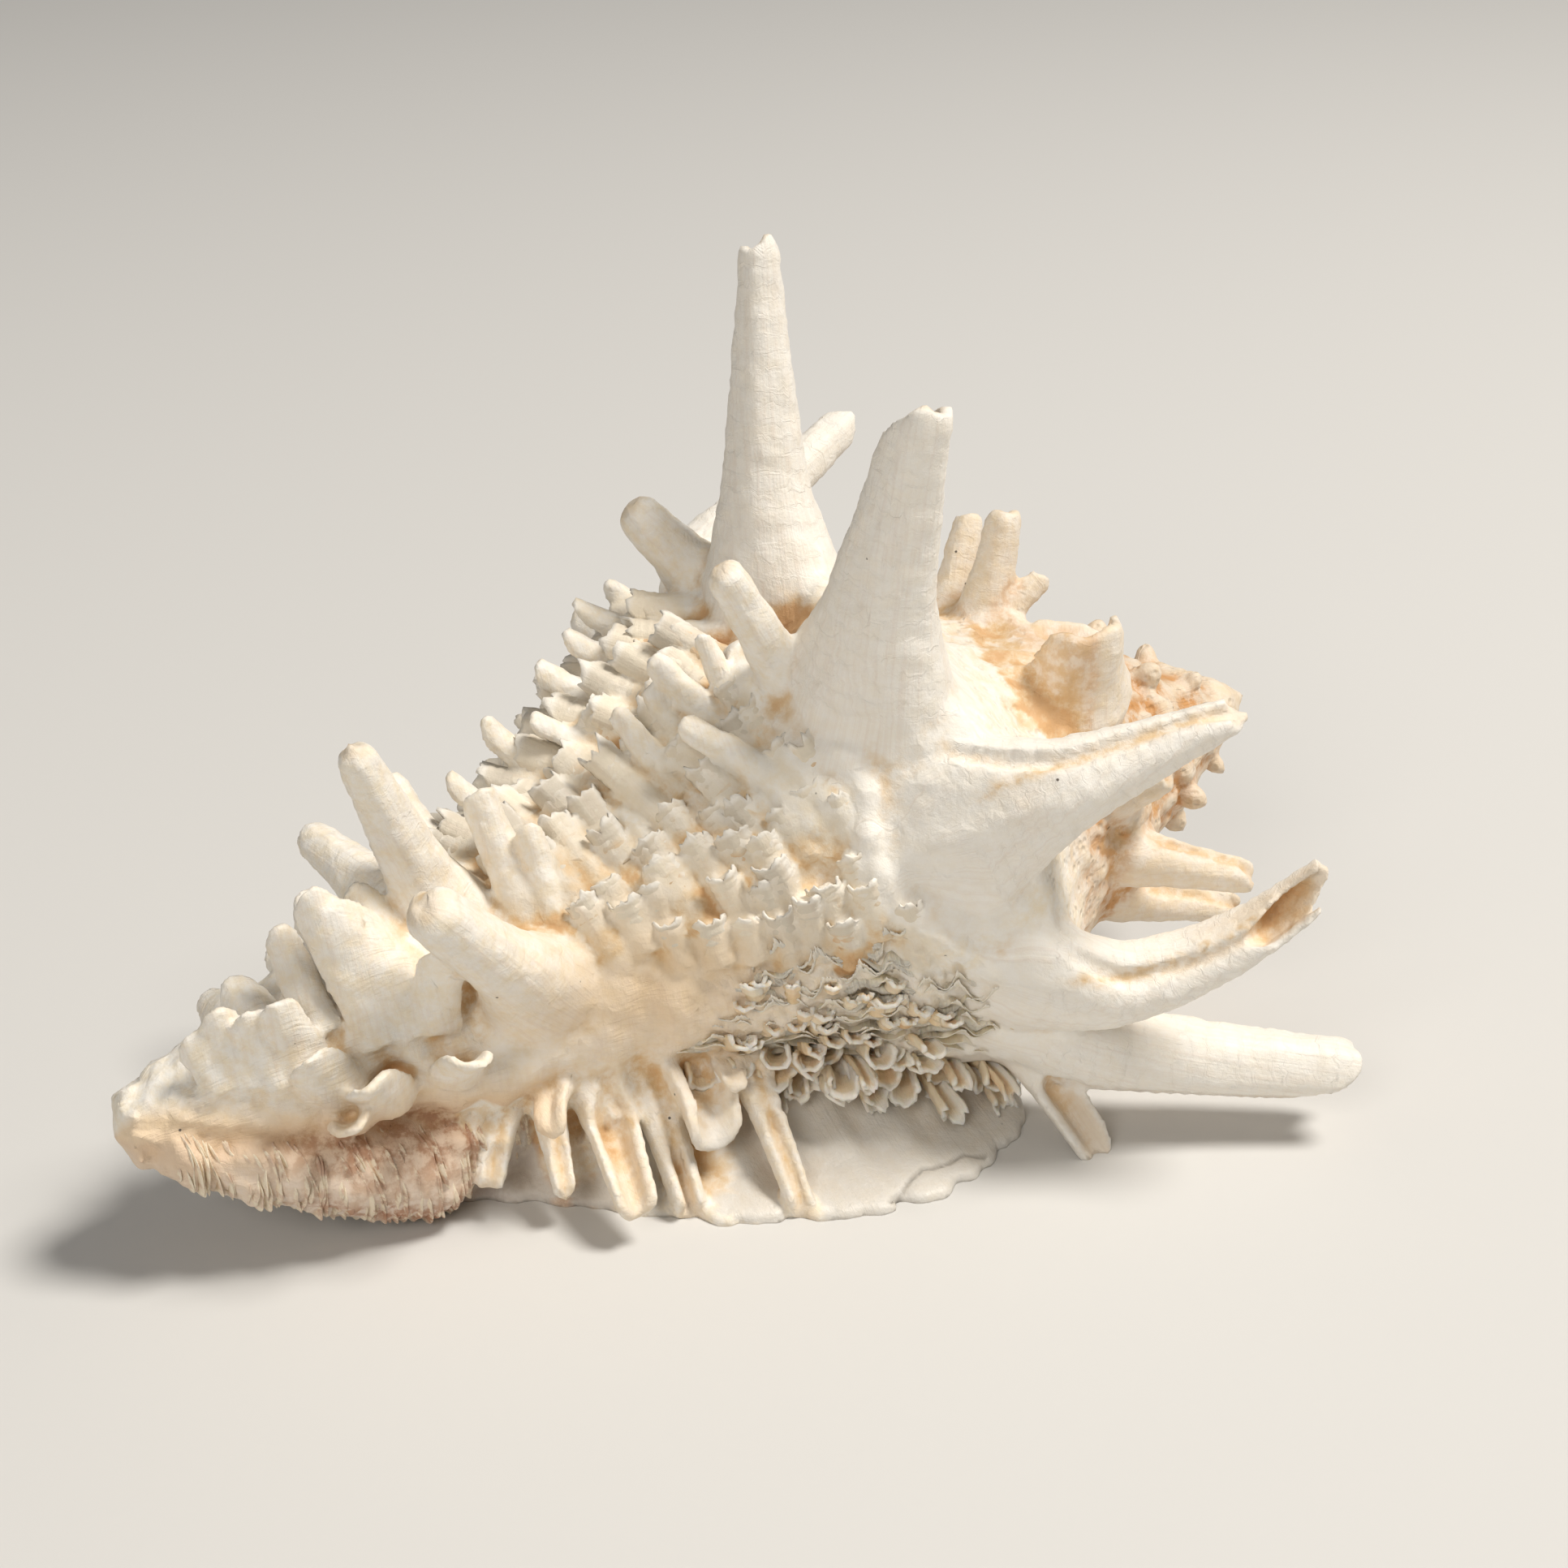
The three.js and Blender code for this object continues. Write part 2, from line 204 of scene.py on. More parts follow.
# %% [markdown]
# ## Natural unevenness
# Nothing on a shell is exact. A sum of sine waves in random directions, from a seeded generator, is a
# smooth lumpiness that can be read at any point and is the same in every run.

# %% Lumps
rng = np.random.default_rng(7)


def make_lumps(size, waves=14):
    """Function of points in millimetres that wanders smoothly between about -1 and 1."""
    heading = unit(rng.normal(size=(waves, 3)))
    pace = 2 * np.pi / (size * rng.uniform(0.6, 1.6, waves))
    phase = rng.uniform(0, 2 * np.pi, waves)

    def lumps(points):
        total = np.zeros(points.shape[:-1])
        for k in range(waves):
            total += np.sin(points @ heading[k] * pace[k] + phase[k])
        return total / np.sqrt(waves / 2) / 1.6

    return lumps


broad_lumps = make_lumps(9.0)
small_lumps = make_lumps(3.0)
tiny_lumps = make_lumps(1.3)
print("lumps at the canal tip", round(float(broad_lumps(CANAL_TIP)), 3))

# %% [markdown]
# ## Meshes from arrays
# A grid of points becomes a mesh when its neighbours are joined by quads. A few helpers do that for all
# pieces: one for circles along a line, one for a closed loft, whose rings have an outer row and an inner
# row, and one that hands the arrays to Blender in metres.

# %% Mesh helpers
def blender_object(name, points, faces):
    mesh = bpy.data.meshes.new(name)
    mesh.from_pydata((np.asarray(points) * MM).tolist(), [], faces)
    mesh.update()
    made = bpy.data.objects.new(name, mesh)
    bpy.context.scene.collection.objects.link(made)
    return made


def round_rings(middle, half, first, second, around):
    """Circles of points round places, in the plane of two directions."""
    angle = np.linspace(0, 2 * np.pi, around, endpoint=False)[:, None]
    ring = np.cos(angle) * first[..., None, :] + np.sin(angle) * second[..., None, :]
    return middle[:, None] + half[:, None, None] * ring


def loft(rings):
    """Points and faces of a closed loft through an array of rings, each with two facing rows."""
    count, around = rings.shape[:2]
    k = np.arange(around)
    base = np.arange(count - 1)[:, None] * around
    sides = np.stack([base + k, base + (k + 1) % around,
                      base + around + (k + 1) % around, base + around + k], axis=-1).reshape(-1, 4)
    row = np.arange(around // 2 - 1)
    facing = around - 1 - row
    last = (count - 1) * around
    start = np.stack([row, facing, facing - 1, row + 1], axis=-1)
    end = np.stack([last + row, last + row + 1, last + facing - 1, last + facing], axis=-1)
    return rings.reshape(-1, 3), np.concatenate([sides, start, end]).tolist()


def joined(parts):
    """One list of points and faces from several."""
    points, faces, first = [], [], 0
    for part_points, part_faces in parts:
        points.append(part_points)
        faces.extend([[first + corner for corner in face] for face in part_faces])
        first += len(part_points)
    return np.concatenate(points), faces


print("mesh helpers ready")

# %% [markdown]
# ## Tube spines
# When the shell pauses in its growth, the edge of its mantle folds into a tube and leaves a spine with a seam
# along the side facing the growth. Each spine here is a loft of C-shaped rings: wide at its root, closed to a
# grooved seam over most of its length, and open at the tip. The tables give its turn, length, lean to the
# apex, swing with the growth, sweep of the outer half, width at root and tip, the share of its length where
# the tube opens, how far its wall goes round there, how far its seam is rolled, how deep its mouth is scooped
# out and how much tan and orange lie on one flank, which is partly stain and partly painted shade of that
# flank. A tube that is CLOSED would open past its tip.

# %% Tables of the spines
CLOSED = 2.0
SHOULDER_SPINES = [
    dict(turn=206, long=13, lean=45, root=7, tip=2.6),
    dict(turn=174, long=21, lean=55, sweep=0.1, root=8, tip=2.8),
    dict(turn=140, long=26.5, lean=66, root=8, tip=3.4),
    dict(turn=100, long=26.8, lean=9, swing=-3, root=9.8, tip=3),
    dict(turn=64, along=0.95, long=26.4, lean=7, swing=11, sweep=-0.03, root=11.5, tip=4.3, scoop=0.13),
    dict(turn=31, along=0.96, long=22.7, lean=62, swing=6, root=12, tip=2.6, roll=-58, open=0.95),
    dict(turn=-9, long=23.6, lean=59, swing=-32, sweep=0.68, root=8.5, tip=5.2, open=0.8, roll=-40, arc=120),
    dict(turn=-31, long=27.5, lean=58, swing=-8, sweep=0.12, root=8.4, tip=5.2, open=0.93, roll=-112),
    dict(turn=-36, long=12.2, lean=10, swing=-10, root=4.4, tip=3.4, open=0.3, arc=105, scoop=0.24),
]
BODY_SPINES = [
    dict(along=0.95, turn=190, long=7, lean=-15, swing=10, root=5, tip=3),
    dict(along=0.95, turn=154, long=7, lean=-10, swing=10, root=5, tip=3),
    dict(along=0.95, turn=114, long=9.4, lean=-28, swing=0, root=5, tip=3.6, open=CLOSED),
    dict(along=0.89, turn=72, long=13.4, lean=-22, swing=18, root=4.4, tip=2.8, open=CLOSED),
    dict(along=0.46, turn=192, long=10, lean=-15, swing=10, root=6, tip=3),
    dict(along=0.46, turn=156, long=13, lean=-15, swing=10, root=7, tip=3),
    dict(along=0.47, turn=118, long=9, lean=-6, swing=10, root=6, tip=3.6, open=0.7),
    dict(along=0.43, turn=84, long=18.2, lean=-15, swing=0, root=6.4, tip=3, open=CLOSED),
    dict(along=0.47, turn=28, long=15.4, lean=-34, swing=50, root=6.6, tip=4.2, open=CLOSED),
    dict(along=0.47, turn=-62, long=5, lean=-20, swing=10, root=5, tip=4.2),
    dict(along=0.5, turn=-50, long=4.5, lean=5, swing=30, root=3.2, tip=2.4),
    dict(along=0.6, turn=-57, long=8.5, lean=-16, swing=16, root=6, tip=4.6, arc=100),
    dict(along=0.5, turn=-48, long=12.6, lean=-11, swing=24, root=4.8, tip=3.4, open=0.3, arc=112, scoop=0.1),
    dict(along=0.555, turn=-46, long=12.4, lean=-6, swing=7, sweep=-0.1, root=3.8, tip=2.8, arc=150),
    dict(along=0.667, turn=-39, long=13.6, lean=-5, swing=1, sweep=-0.06, root=3.4, tip=2.2, open=0.45,
         arc=145),
    dict(along=0.65, turn=-52, long=5, lean=24, swing=0, root=2.8, tip=2),
    dict(along=0.36, turn=-50, long=6, lean=-40, swing=-30, root=3.6, tip=2.4),
    dict(along=0.39, turn=-54, long=7, lean=-30, swing=3, root=3.4, tip=2.2),
    dict(along=0.44, turn=-53, long=9, lean=-14, swing=18, root=3, tip=1.8),
]
SPIRE_SPINES = [
    dict(turn=170, long=7, lean=35, root=4.5, tip=2.4),
    dict(turn=140, long=7, lean=30, root=4.5, tip=2.4),
    dict(turn=115, long=8.6, lean=25, swing=-13, root=4.2, tip=2.4),
    dict(turn=99, long=9.4, lean=21, swing=-4, root=4.6, tip=2.8),
    dict(turn=94, long=5.6, lean=60, swing=-14, root=3, tip=2),
    dict(turn=62, long=8.2, lean=3, root=10.5, tip=6, open=0.2, arc=96, scoop=0.2, stain_and_shade=1.1),
    dict(turn=22, long=4, lean=40, root=5, tip=3),
    dict(turn=-10, long=9.7, lean=48, swing=-7, root=4.6, tip=2.8, open=0.94),
    dict(turn=-39, long=10.5, lean=61, root=4.2, tip=2.6, open=0.9),
]
all_spines = SHOULDER_SPINES + BODY_SPINES + SPIRE_SPINES
print("spines in the tables:", len(all_spines))

# %% [markdown]
# ## Lines of the spines
# A spine starts on the wall, leans and swings away from straight outward, and may be swept with the growth.
# Its slot faces the growth unless it is rolled. These functions give the middle line, the directions and
# the width of any spine. The mesh uses them here, and the colours use them again later.

# %% Lines of the spines
SHOULDER_ALONG = 0.985
TAPER = 0.7
ROOT_FLARE = 0.08
FLARE_REACH = 3.0


def spine_direction(turn, lean, swing):
    lean, swing = np.radians(lean), np.radians(swing)
    out = np.cos(swing) * outward(turn) + np.sin(swing) * outward(turn + 90)
    return np.cos(lean) * out + np.sin(lean) * APEXWARD


def spine_axes(spine):
    """Directions along a spine, across its slot, out of its slot, and of the growth."""
    forward = outward(spine["turn"] + 90)
    direction = spine_direction(spine["turn"], spine["lean"], spine.get("swing", 0))
    across = unit(np.cross(forward, direction))
    facing = np.cross(direction, across)
    roll = np.radians(spine.get("roll", 0))
    turned = np.cos(roll) * across - np.sin(roll) * facing
    return direction, turned, np.cos(roll) * facing + np.sin(roll) * across, forward


def spine_line(spine, s):
    """Middle line of a spine at shares s of its length."""
    direction, _, _, forward = spine_axes(spine)
    sweep = spine.get("sweep", 0) * np.square(np.maximum(s, 0))
    return spine["foot"] + spine["long"] * (s[..., None] * direction + sweep[..., None] * forward)


def spine_half(spine, s):
    """Half width of a spine at shares s of its length."""
    out = np.maximum(s, 0)
    half = lerp(spine["root"], spine["tip"], out ** TAPER) / 2
    return half + ROOT_FLARE * spine["root"] * np.exp(-out * spine["long"] / FLARE_REACH)


for spine in SHOULDER_SPINES + BODY_SPINES:
    spine["foot_at"] = spine["turn"], spine.get("along", SHOULDER_ALONG)
    spine["foot"] = body_point(*spine["foot_at"])
for spine in SPIRE_SPINES:
    spine["foot"] = spire_point(spine["turn"] - 360, 1, 1)
highest = max(spine_line(spine, np.ones(1))[0, 2] for spine in all_spines)
print("highest spine tip at", round(float(highest), 1), "mm")

# %% [markdown]
# ## Roots of the spines
# A spine doesn't stand on the wall like a nail. Its root spreads over the wall, so the first ring of a
# spine on the body is laid on the wall itself, over the edge of the shoulder too. The loft then goes over
# from that footprint to the round tube.

# %% Footprints on the wall
FOOT_SPREAD = 1.35
FOOT_SINK = 0.9
RAMP_STEPS = np.diff(RAMP_PROFILE * (LIP_TO_APEX, LIP_RADIUS), axis=0)
RAMP_SLANT = np.concatenate([[0], np.cumsum(np.linalg.norm(RAMP_STEPS, axis=1))])


def surface_point(turn, along, ahead, aside):
    """Place on the wall, millimetres ahead with the growth and aside to the apex, over the shoulder too."""
    turn = turn + np.degrees(ahead / wall_radius(turn, along))
    slant = slant_at(along) + aside
    over = np.maximum(slant - slant_at(1), 0) / coil_size(turn)
    ramp = spire_point(turn, *(np.interp(over, RAMP_SLANT, column) for column in RAMP_PROFILE.T))
    return np.where((over > 0)[..., None], ramp, body_point(turn, along_at(np.minimum(slant, slant_at(1)))))


def footprint(spine, offset):
    """Where the root of a spine meets the wall, for offsets from its middle line."""
    turn, along = spine["foot_at"]
    _, forward, sideways, normal = body_frame(turn, along)
    ahead, aside = offset @ forward, offset @ sideways
    spread = FOOT_SPREAD * np.linalg.norm(offset, axis=-1) / np.maximum(np.hypot(ahead, aside), 1e-6)
    return surface_point(turn, along, ahead * spread, aside * spread) - FOOT_SINK * normal


print("ramp from the shoulder to the seam:", round(float(RAMP_SLANT[-1]), 1), "mm")

# %% [markdown]
# ## Tubes
# Each ring of a spine goes round the outside and comes back along the inside. Where the tube is closed,
# the inside is only a shallow groove along the seam. At the mouth it becomes a bore with a thin wall.
# Small folds, ripples and scallops come from sine waves with a random start.

# %% Tubes
SPINE_OPEN, MOUTH_BEFORE, MOUTH_AFTER = 0.62, 0.12, 0.06
SPINE_ARC, SEAM_ARC = 135, 166
SPINE_SCOOP = 0.05
SPINE_RINGS, SPINE_AROUND = 44, 26
SPINE_WALL = 0.9
SEAM_DEPTH = 0.3
ROOT_DEPTH = 2.5
FOOT_BLEND = 0.8
RIPPLE_HIGH, RIPPLE_STEP = 0.035, 1.3
SCALLOP_HIGH, SCALLOP_STEP = 0.12, 1.15
TIP_ROUND = 0.45


def tube_spine(spine):
    _, across, facing, _ = spine_axes(spine)
    phase = rng.uniform(0, 6, 3)
    s = np.linspace(0 if "foot_at" in spine else -ROOT_DEPTH / spine["long"], 1, SPINE_RINGS)[:, None]
    k = np.linspace(-1, 1, SPINE_AROUND)[None]
    scoop = spine.get("scoop", SPINE_SCOOP) * np.square(k) + 0.02 * np.sin(5 * k + phase[0])
    s = s * (1 - scoop * smoothstep(s, 0.4, 1))
    out = np.maximum(s, 0)
    opens = spine.get("open", SPINE_OPEN)
    mouth = smoothstep(out, opens - MOUTH_BEFORE, opens + MOUTH_AFTER)
    arc = np.radians(lerp(SEAM_ARC, spine.get("arc", SPINE_ARC), mouth))
    angle = k * arc
    folds = 1 + 0.035 * np.cos(5 * angle + phase[1]) * smoothstep(out, 0.1, 0.4)
    ripple = RIPPLE_HIGH * np.sin(2 * np.pi * out * spine["long"] / RIPPLE_STEP + phase[2] + 2 * k)
    scallops = SCALLOP_HIGH * k ** 8 * np.sin(2 * np.pi * out * spine["long"] / SCALLOP_STEP + phase[0])
    outer = spine_half(spine, s) * folds + (ripple + scallops) * smoothstep(out, 0.05, 0.3)
    cap = np.clip(1 + (out - 1) * spine["long"] / (TIP_ROUND * spine["tip"]), 0, 1)
    outer = outer * np.sqrt(1 - lerp(0.95, 0.3, mouth) * cap * cap)
    bore = np.maximum(outer - SPINE_WALL, 0.3 * outer)
    groove = SEAM_DEPTH * outer * (1 - k * k) * smoothstep(out, 0.04, 0.2)
    inner_across = lerp(k * np.sin(arc) * outer, np.sin(angle) * bore, mouth)
    inner_facing = lerp(-np.cos(arc) * outer - groove, -np.cos(angle) * bore, mouth)
    line = spine_line(spine, s)
    outside = line + (np.sin(angle) * outer)[..., None] * across - (np.cos(angle) * outer)[..., None] * facing
    inside = line + inner_across[..., None] * across + inner_facing[..., None] * facing
    rings = np.concatenate([outside, inside[:, ::-1]], axis=1)
    if "foot_at" in spine:
        grown = smoothstep(s[:, :1] * spine["long"], 0, FOOT_BLEND * spine["root"])[..., None]
        rings = lerp(footprint(spine, rings[:1] - spine["foot"]), rings, grown)
    return loft(rings)


spines = joined([tube_spine(spine) for spine in all_spines])
print("tube spines:", len(all_spines), "with", len(spines[0]), "points")

# %% [markdown]
# ## Relief of the wall
# The wall isn't smooth. Low cords run round it for the scales to stand on, lumps make it uneven, pockets
# sink in between the spines, and it rises towards the root of every spine. Each is a function of the
# place, so the coil can add them all in one go. A pocket's row is its turn, place along the body, width
# and depth.

# %% Relief of the wall
CORD_HEIGHT = 0.45
ROOT_SPREAD = 0.62
ROOT_RISE = 0.22
FOOT_REACH = 1.2
POCKETS = [
    (83, 0.92, 3.4, 2.2), (92, 0.365, 2.6, 2), (35, 0.4, 2.2, 1.6), (3, 0.285, 1.3, 2), (96, 0.875, 1.5, 1.2),
    (20, 0.68, 2, 0.6), (46, 0.76, 1.6, 0.5),
]


def body_relief(turn, along):
    ridge = 0.5 + 0.5 * np.cos(2 * np.pi * slant_at(along) / CORD_STEP)
    corded = smoothstep(along, 0.42, 0.5) * fade(along, 0.93, 0.98)
    corded = corded * lerp(0.25, 1, smoothstep(turn, 22, 52))
    here = body_point(turn, along)
    lumpy = 0.5 * broad_lumps(here) + 0.16 * small_lumps(here)
    rough = 0.3 * tiny_lumps(here) * fade(along, 0.06, 0.16)
    return CORD_HEIGHT * ridge * corded + lumpy * smoothstep(along, 0.02, 0.2) + rough


def pocket_depth(points):
    """Depth of the pockets between the spines at points of the wall."""
    depth = np.zeros(points.shape[:-1])
    for turn, along, size, deep in POCKETS:
        gap = np.linalg.norm(points - body_point(turn, along), axis=-1)
        depth += deep * bell(gap / size)
    return depth


def root_swell(points):
    """Shift of points of the wall towards the spines that grow there."""
    shift = np.zeros_like(points)
    for spine in all_spines:
        direction = spine_axes(spine)[0]
        away = points - spine["foot"]
        up = away @ direction
        off = np.sqrt(np.maximum((away ** 2).sum(-1) - up ** 2, 0)) / (ROOT_SPREAD * spine["root"])
        near_foot = bell(up / (FOOT_REACH * spine["root"]))
        shift += (ROOT_RISE * spine["root"] * bell(off) * near_foot)[..., None] * direction
    return shift


print("pockets:", len(POCKETS), "deepest", max(deep for *_, deep in POCKETS), "mm")

# %% [markdown]
# ## Body whorl and spire
# The coil could be a swept curve, but then the turns would overlap. Here columns of points run from the
# canal over the shoulder and up the spire, one column for every place round the axis. The last column
# meets the first one nearly a whole turn further in, and the step between them is the shell's lip.

# %% Coiled body
BODY_COLUMNS = 220
BODY_ROWS = 100
SPIRE_TURNS = 4
TURN_ROWS = 16
WHOLE_TURN = 359
SPIRE_CENTRE = 30.0
SEAM_RADIUS, SEAM_BAND = 0.63, 0.05


def coiled_body():
    turns = LIP_TURN - WHOLE_TURN * np.linspace(0, 1, BODY_COLUMNS + 1)
    along = np.linspace(0, 1, BODY_ROWS)
    grid_turn, grid_along = np.meshgrid(turns, along, indexing="ij")
    here, _, _, normal = body_frame(grid_turn, grid_along)
    wall = here + normal * (body_relief(grid_turn, grid_along) - pocket_depth(here))[..., None]
    step = np.arange(1, SPIRE_TURNS * TURN_ROWS + 1)
    place = (step % TURN_ROWS) / TURN_ROWS * (len(RAMP_PROFILE) - 1)
    shrink = GROWTH_PER_TURN ** -(step // TURN_ROWS)
    share, radius = (np.interp(place, np.arange(len(column)), column) * shrink for column in RAMP_PROFILE.T)
    spire = spire_point(turns[:, None], share[None], radius[None])
    by_seam = bell((radius / shrink - SEAM_RADIUS) / SEAM_BAND)
    crumbly = 0.22 * small_lumps(spire) + 0.4 * tiny_lumps(spire) * by_seam
    spire = spire + unit(spire - on_shell(SHELL_LENGTH - SPIRE_CENTRE, 0, 0)) * crumbly[..., None]
    grid = np.concatenate([wall, spire], axis=1)
    grid = grid + root_swell(grid)
    columns, rows = grid.shape[:2]
    points = np.concatenate([grid.reshape(-1, 3), [on_shell(-1, 0, 0), on_shell(SHELL_LENGTH - 2, 0, 0)]])
    canal_end, apex = len(points) - 2, len(points) - 1
    corner = (np.arange(columns - 1)[:, None] * rows + np.arange(rows - 1)).ravel()
    faces = np.stack([corner, corner + rows, corner + rows + 1, corner + 1], axis=-1).tolist()
    for c in range(columns - 1):
        faces.append([canal_end, (c + 1) * rows, c * rows])
        faces.append([apex, c * rows + rows - 1, (c + 1) * rows + rows - 1])
    # The lip: its own column against the wall that it stands on.
    seam = BODY_ROWS - 1 + TURN_ROWS
    lip = [k / seam if k <= seam else 1 + k - seam for k in range(rows)]
    wall_row = [k / (BODY_ROWS - 1) if k < BODY_ROWS else 2 + k - BODY_ROWS for k in range(rows)]
    first = (columns - 1) * rows
    a = b = 0
    while a < rows - 1 or b < rows - 1:
        if a == rows - 1 or (b < rows - 1 and wall_row[b + 1] <= lip[a + 1]):
            faces.append([first + b, a, first + b + 1])
            b += 1
        else:
            faces.append([first + b, a, a + 1])
            a += 1
    faces.append([canal_end, 0, first])
    faces.append([apex, first + rows - 1, rows - 1])
    return points, faces


body = coiled_body()
print("coiled body:", len(body[0]), "points")

# %% [markdown]
# ## Knobs of the spire
# The spines of the oldest turns are worn down to blunt knobs. A knob is a small dome on the shoulder of
# its turn, made as a loft of shrinking rings that start inside the wall. A row of knobs is given by how
# many turns it lies back, how many knobs it has and how long they are.

# %% Worn knobs
KNOB_ROWS = [(2, 9, 2.3), (3, 7, 1.4)]
KNOB_HALF = 0.62
KNOB_LEAN = 22


def knob(place, direction, long):
    side = unit(np.cross(direction, APEXWARD))
    other = np.cross(side, direction)
    s = np.linspace(-0.6, 1, 9)
    half = KNOB_HALF * long * np.sqrt(np.clip(1 - np.maximum(s, 0) ** 2, 0.03, 1))
    return loft(round_rings(place + (s * long)[:, None] * direction, half, side, other, 16))


knob_parts = []
for back, count, long in KNOB_ROWS:
    for k in range(count):
        turn = LIP_TURN - 360 * (back + k / count) + rng.uniform(-6, 6)
        direction = spine_direction(turn, KNOB_LEAN, 0)
        knob_parts.append(knob(spire_point(turn, 1, 1), direction, long * rng.uniform(0.8, 1.15)))
knobs = joined(knob_parts)
print("worn knobs:", len(knob_parts))

# %% [markdown]
# ## Callus
# The shell lies on its callus, a smooth plate beside the opening. It is a loft along the axis, with its flat
# face just under the floor, where it is cut off later. Its rows are the distance along the axis and how far
# its edge reaches to the viewer and back. Small chips are missing from its edge.

# %% Callus plate
CALLUS = np.array([
    [22, 3, -3], [30, 8, -5], [37, 14, -6], [44, 19, -7], [52, 22.5, -8],
    [58, 24, -9], [65, 22, -9], [71, 18, -5], [75, 12, 2],
])
CALLUS_CHIPS = [(40, 0.7, 0.9), (47.5, 0.9, 1.2), (56, 0.5, 0.7), (61.5, 1.2, 0.9), (67, 0.6, 1.0)]
CALLUS_SECTION = [(0, -1), (1, -1), (1.0, 0.35), (0.985, 0.75), (0.95, 1.0), (0.9, 1.25),
                  (0.83, 1.8), (0.74, 3.2), (0.62, 5.4), (0.4, 7.4), (0.2, 8.6), (0, 9.4)]


def over_floor(distance, reach, height):
    point = on_shell(distance, 0, reach)
    point[..., 2] = height
    return point


def callus_edges(distance):
    return [np.interp(distance, CALLUS[:, 0], CALLUS[:, k]) for k in (1, 2)]


def callus_plate():
    distance = np.linspace(CALLUS[0, 0], CALLUS[-1, 0], 150)
    reach, back = callus_edges(distance)
    edge = over_floor(distance, reach, 0)
    wave = 0.5 * broad_lumps(edge) + 0.3 * small_lumps(edge) + 0.12 * tiny_lumps(edge)
    for place, wide, deep in CALLUS_CHIPS:
        wave = wave - deep * bell((distance - place) / wide)
    reach = reach + wave
    rings = [over_floor(distance, lerp(back, reach, share), height) for share, height in CALLUS_SECTION]
    return loft(np.stack(rings, axis=1))


callus = callus_plate()
print("callus:", len(callus[0]), "points")

# %% [markdown]
# ## Canal ridge
# A rough ridge winds down the near side of the canal, where old lips were left behind. It is a loft too, and
# its rows are distance, turn, radius and half thickness. Its relief is a wave that repeats with every old
# lip, so the thin frills can stand on it later.

# %% Canal ridge
CANAL_RIDGE = np.array([
    [1, -30, 2, 1.6], [6, -45, 5, 3], [13, -60, 8, 4.4], [21, -70, 9.6, 5.2], [29, -84, 9.5, 5],
    [36, -104, 8, 4],
])
RIDGE_SHEETS = 40
LEAST_RIDGE_RADIUS = 3


def ridge_at(w):
    """Distance, turn, radius and half thickness of the canal ridge at shares w of its length."""
    place = np.linspace(0, 1, len(CANAL_RIDGE))
    return [np.interp(w, place, CANAL_RIDGE[:, k]) for k in range(4)]


def ridge_point(w, angle, proud):
    distance, turn, radius, half = ridge_at(w)
    out = np.cos(angle) * (half + proud)
    round_it = np.degrees(np.sin(angle) * (half + proud) / np.maximum(radius, LEAST_RIDGE_RADIUS))
    return on_shell(distance, turn + round_it, radius + out)


def ridge_relief(w, angle):
    surface = ridge_point(w, angle, 0)
    phase = RIDGE_SHEETS * np.pi * w + 1.5 * broad_lumps(surface) + 0.8 * np.sin(2 * angle)
    sheets = np.square(np.sin(phase))
    return 0.4 * broad_lumps(surface) + 0.3 * small_lumps(surface) + 0.3 * sheets


def canal_ridge():
    around = np.linspace(0, 2 * np.pi, 64, endpoint=False)
    w, angle = np.meshgrid(np.linspace(0, 1, 200), around, indexing="ij")
    return loft(ridge_point(w, angle, ridge_relief(w, angle)))


ridge = canal_ridge()
print("canal ridge:", len(ridge[0]), "points")

# %% [markdown]
# ## Fold under the shoulder
# A rounded fold runs from the root of the highest finger down to the broadest spine, and the field of
# scales ends at it. It is a loft of circles along places on the body.

# %% Shoulder fold
FOLD = np.array([
    [88, 0.89, 1.6], [82, 0.868, 2.2], [73, 0.853, 1.9], [62, 0.868, 1.7], [53, 0.886, 1.6],
    [45, 0.884, 1.4], [38, 0.868, 1.2], [31, 0.856, 1.1], [22, 0.858, 1.1], [13, 0.872, 1.0], [4, 0.906, 0.9],
    [-4, 0.94, 0.8], [-14, 0.962, 0.4],
])


def shoulder_fold():
    place = np.linspace(0, len(FOLD) - 1, 110)
    turn, along, half = (np.interp(place, np.arange(len(FOLD)), column) for column in FOLD.T)
    half = half * (1 + 0.16 * np.sin(2.1 * place) + 0.1 * np.sin(5.3 * place))
    here, _, _, normal = body_frame(turn, along)
    ahead = unit(np.gradient(here, axis=0))
    return loft(round_rings(here, half, normal, np.cross(ahead, normal), 20))


fold = shoulder_fold()
print("shoulder fold:", len(fold[0]), "points")

# %% [markdown]
# ## Arched scales
# The scales of the shell are half tubes with a free edge towards the growth. They could be instances of
# one tile, but no two are alike. So one function bends a whole field of small grids at once, each with
# its own length, width, slope and ragged edge.

# %% Scale grids
SCALE_LONG = 13
SCALE_AROUND = 15
SCALE_KEYS = ("long", "wide", "rise", "curl", "arc", "tip", "rag", "yaw", "flare", "wall", "thin")
LEAST_BEND = 0.01
RIB_HIGH, RIB_STEP = 0.055, 0.85


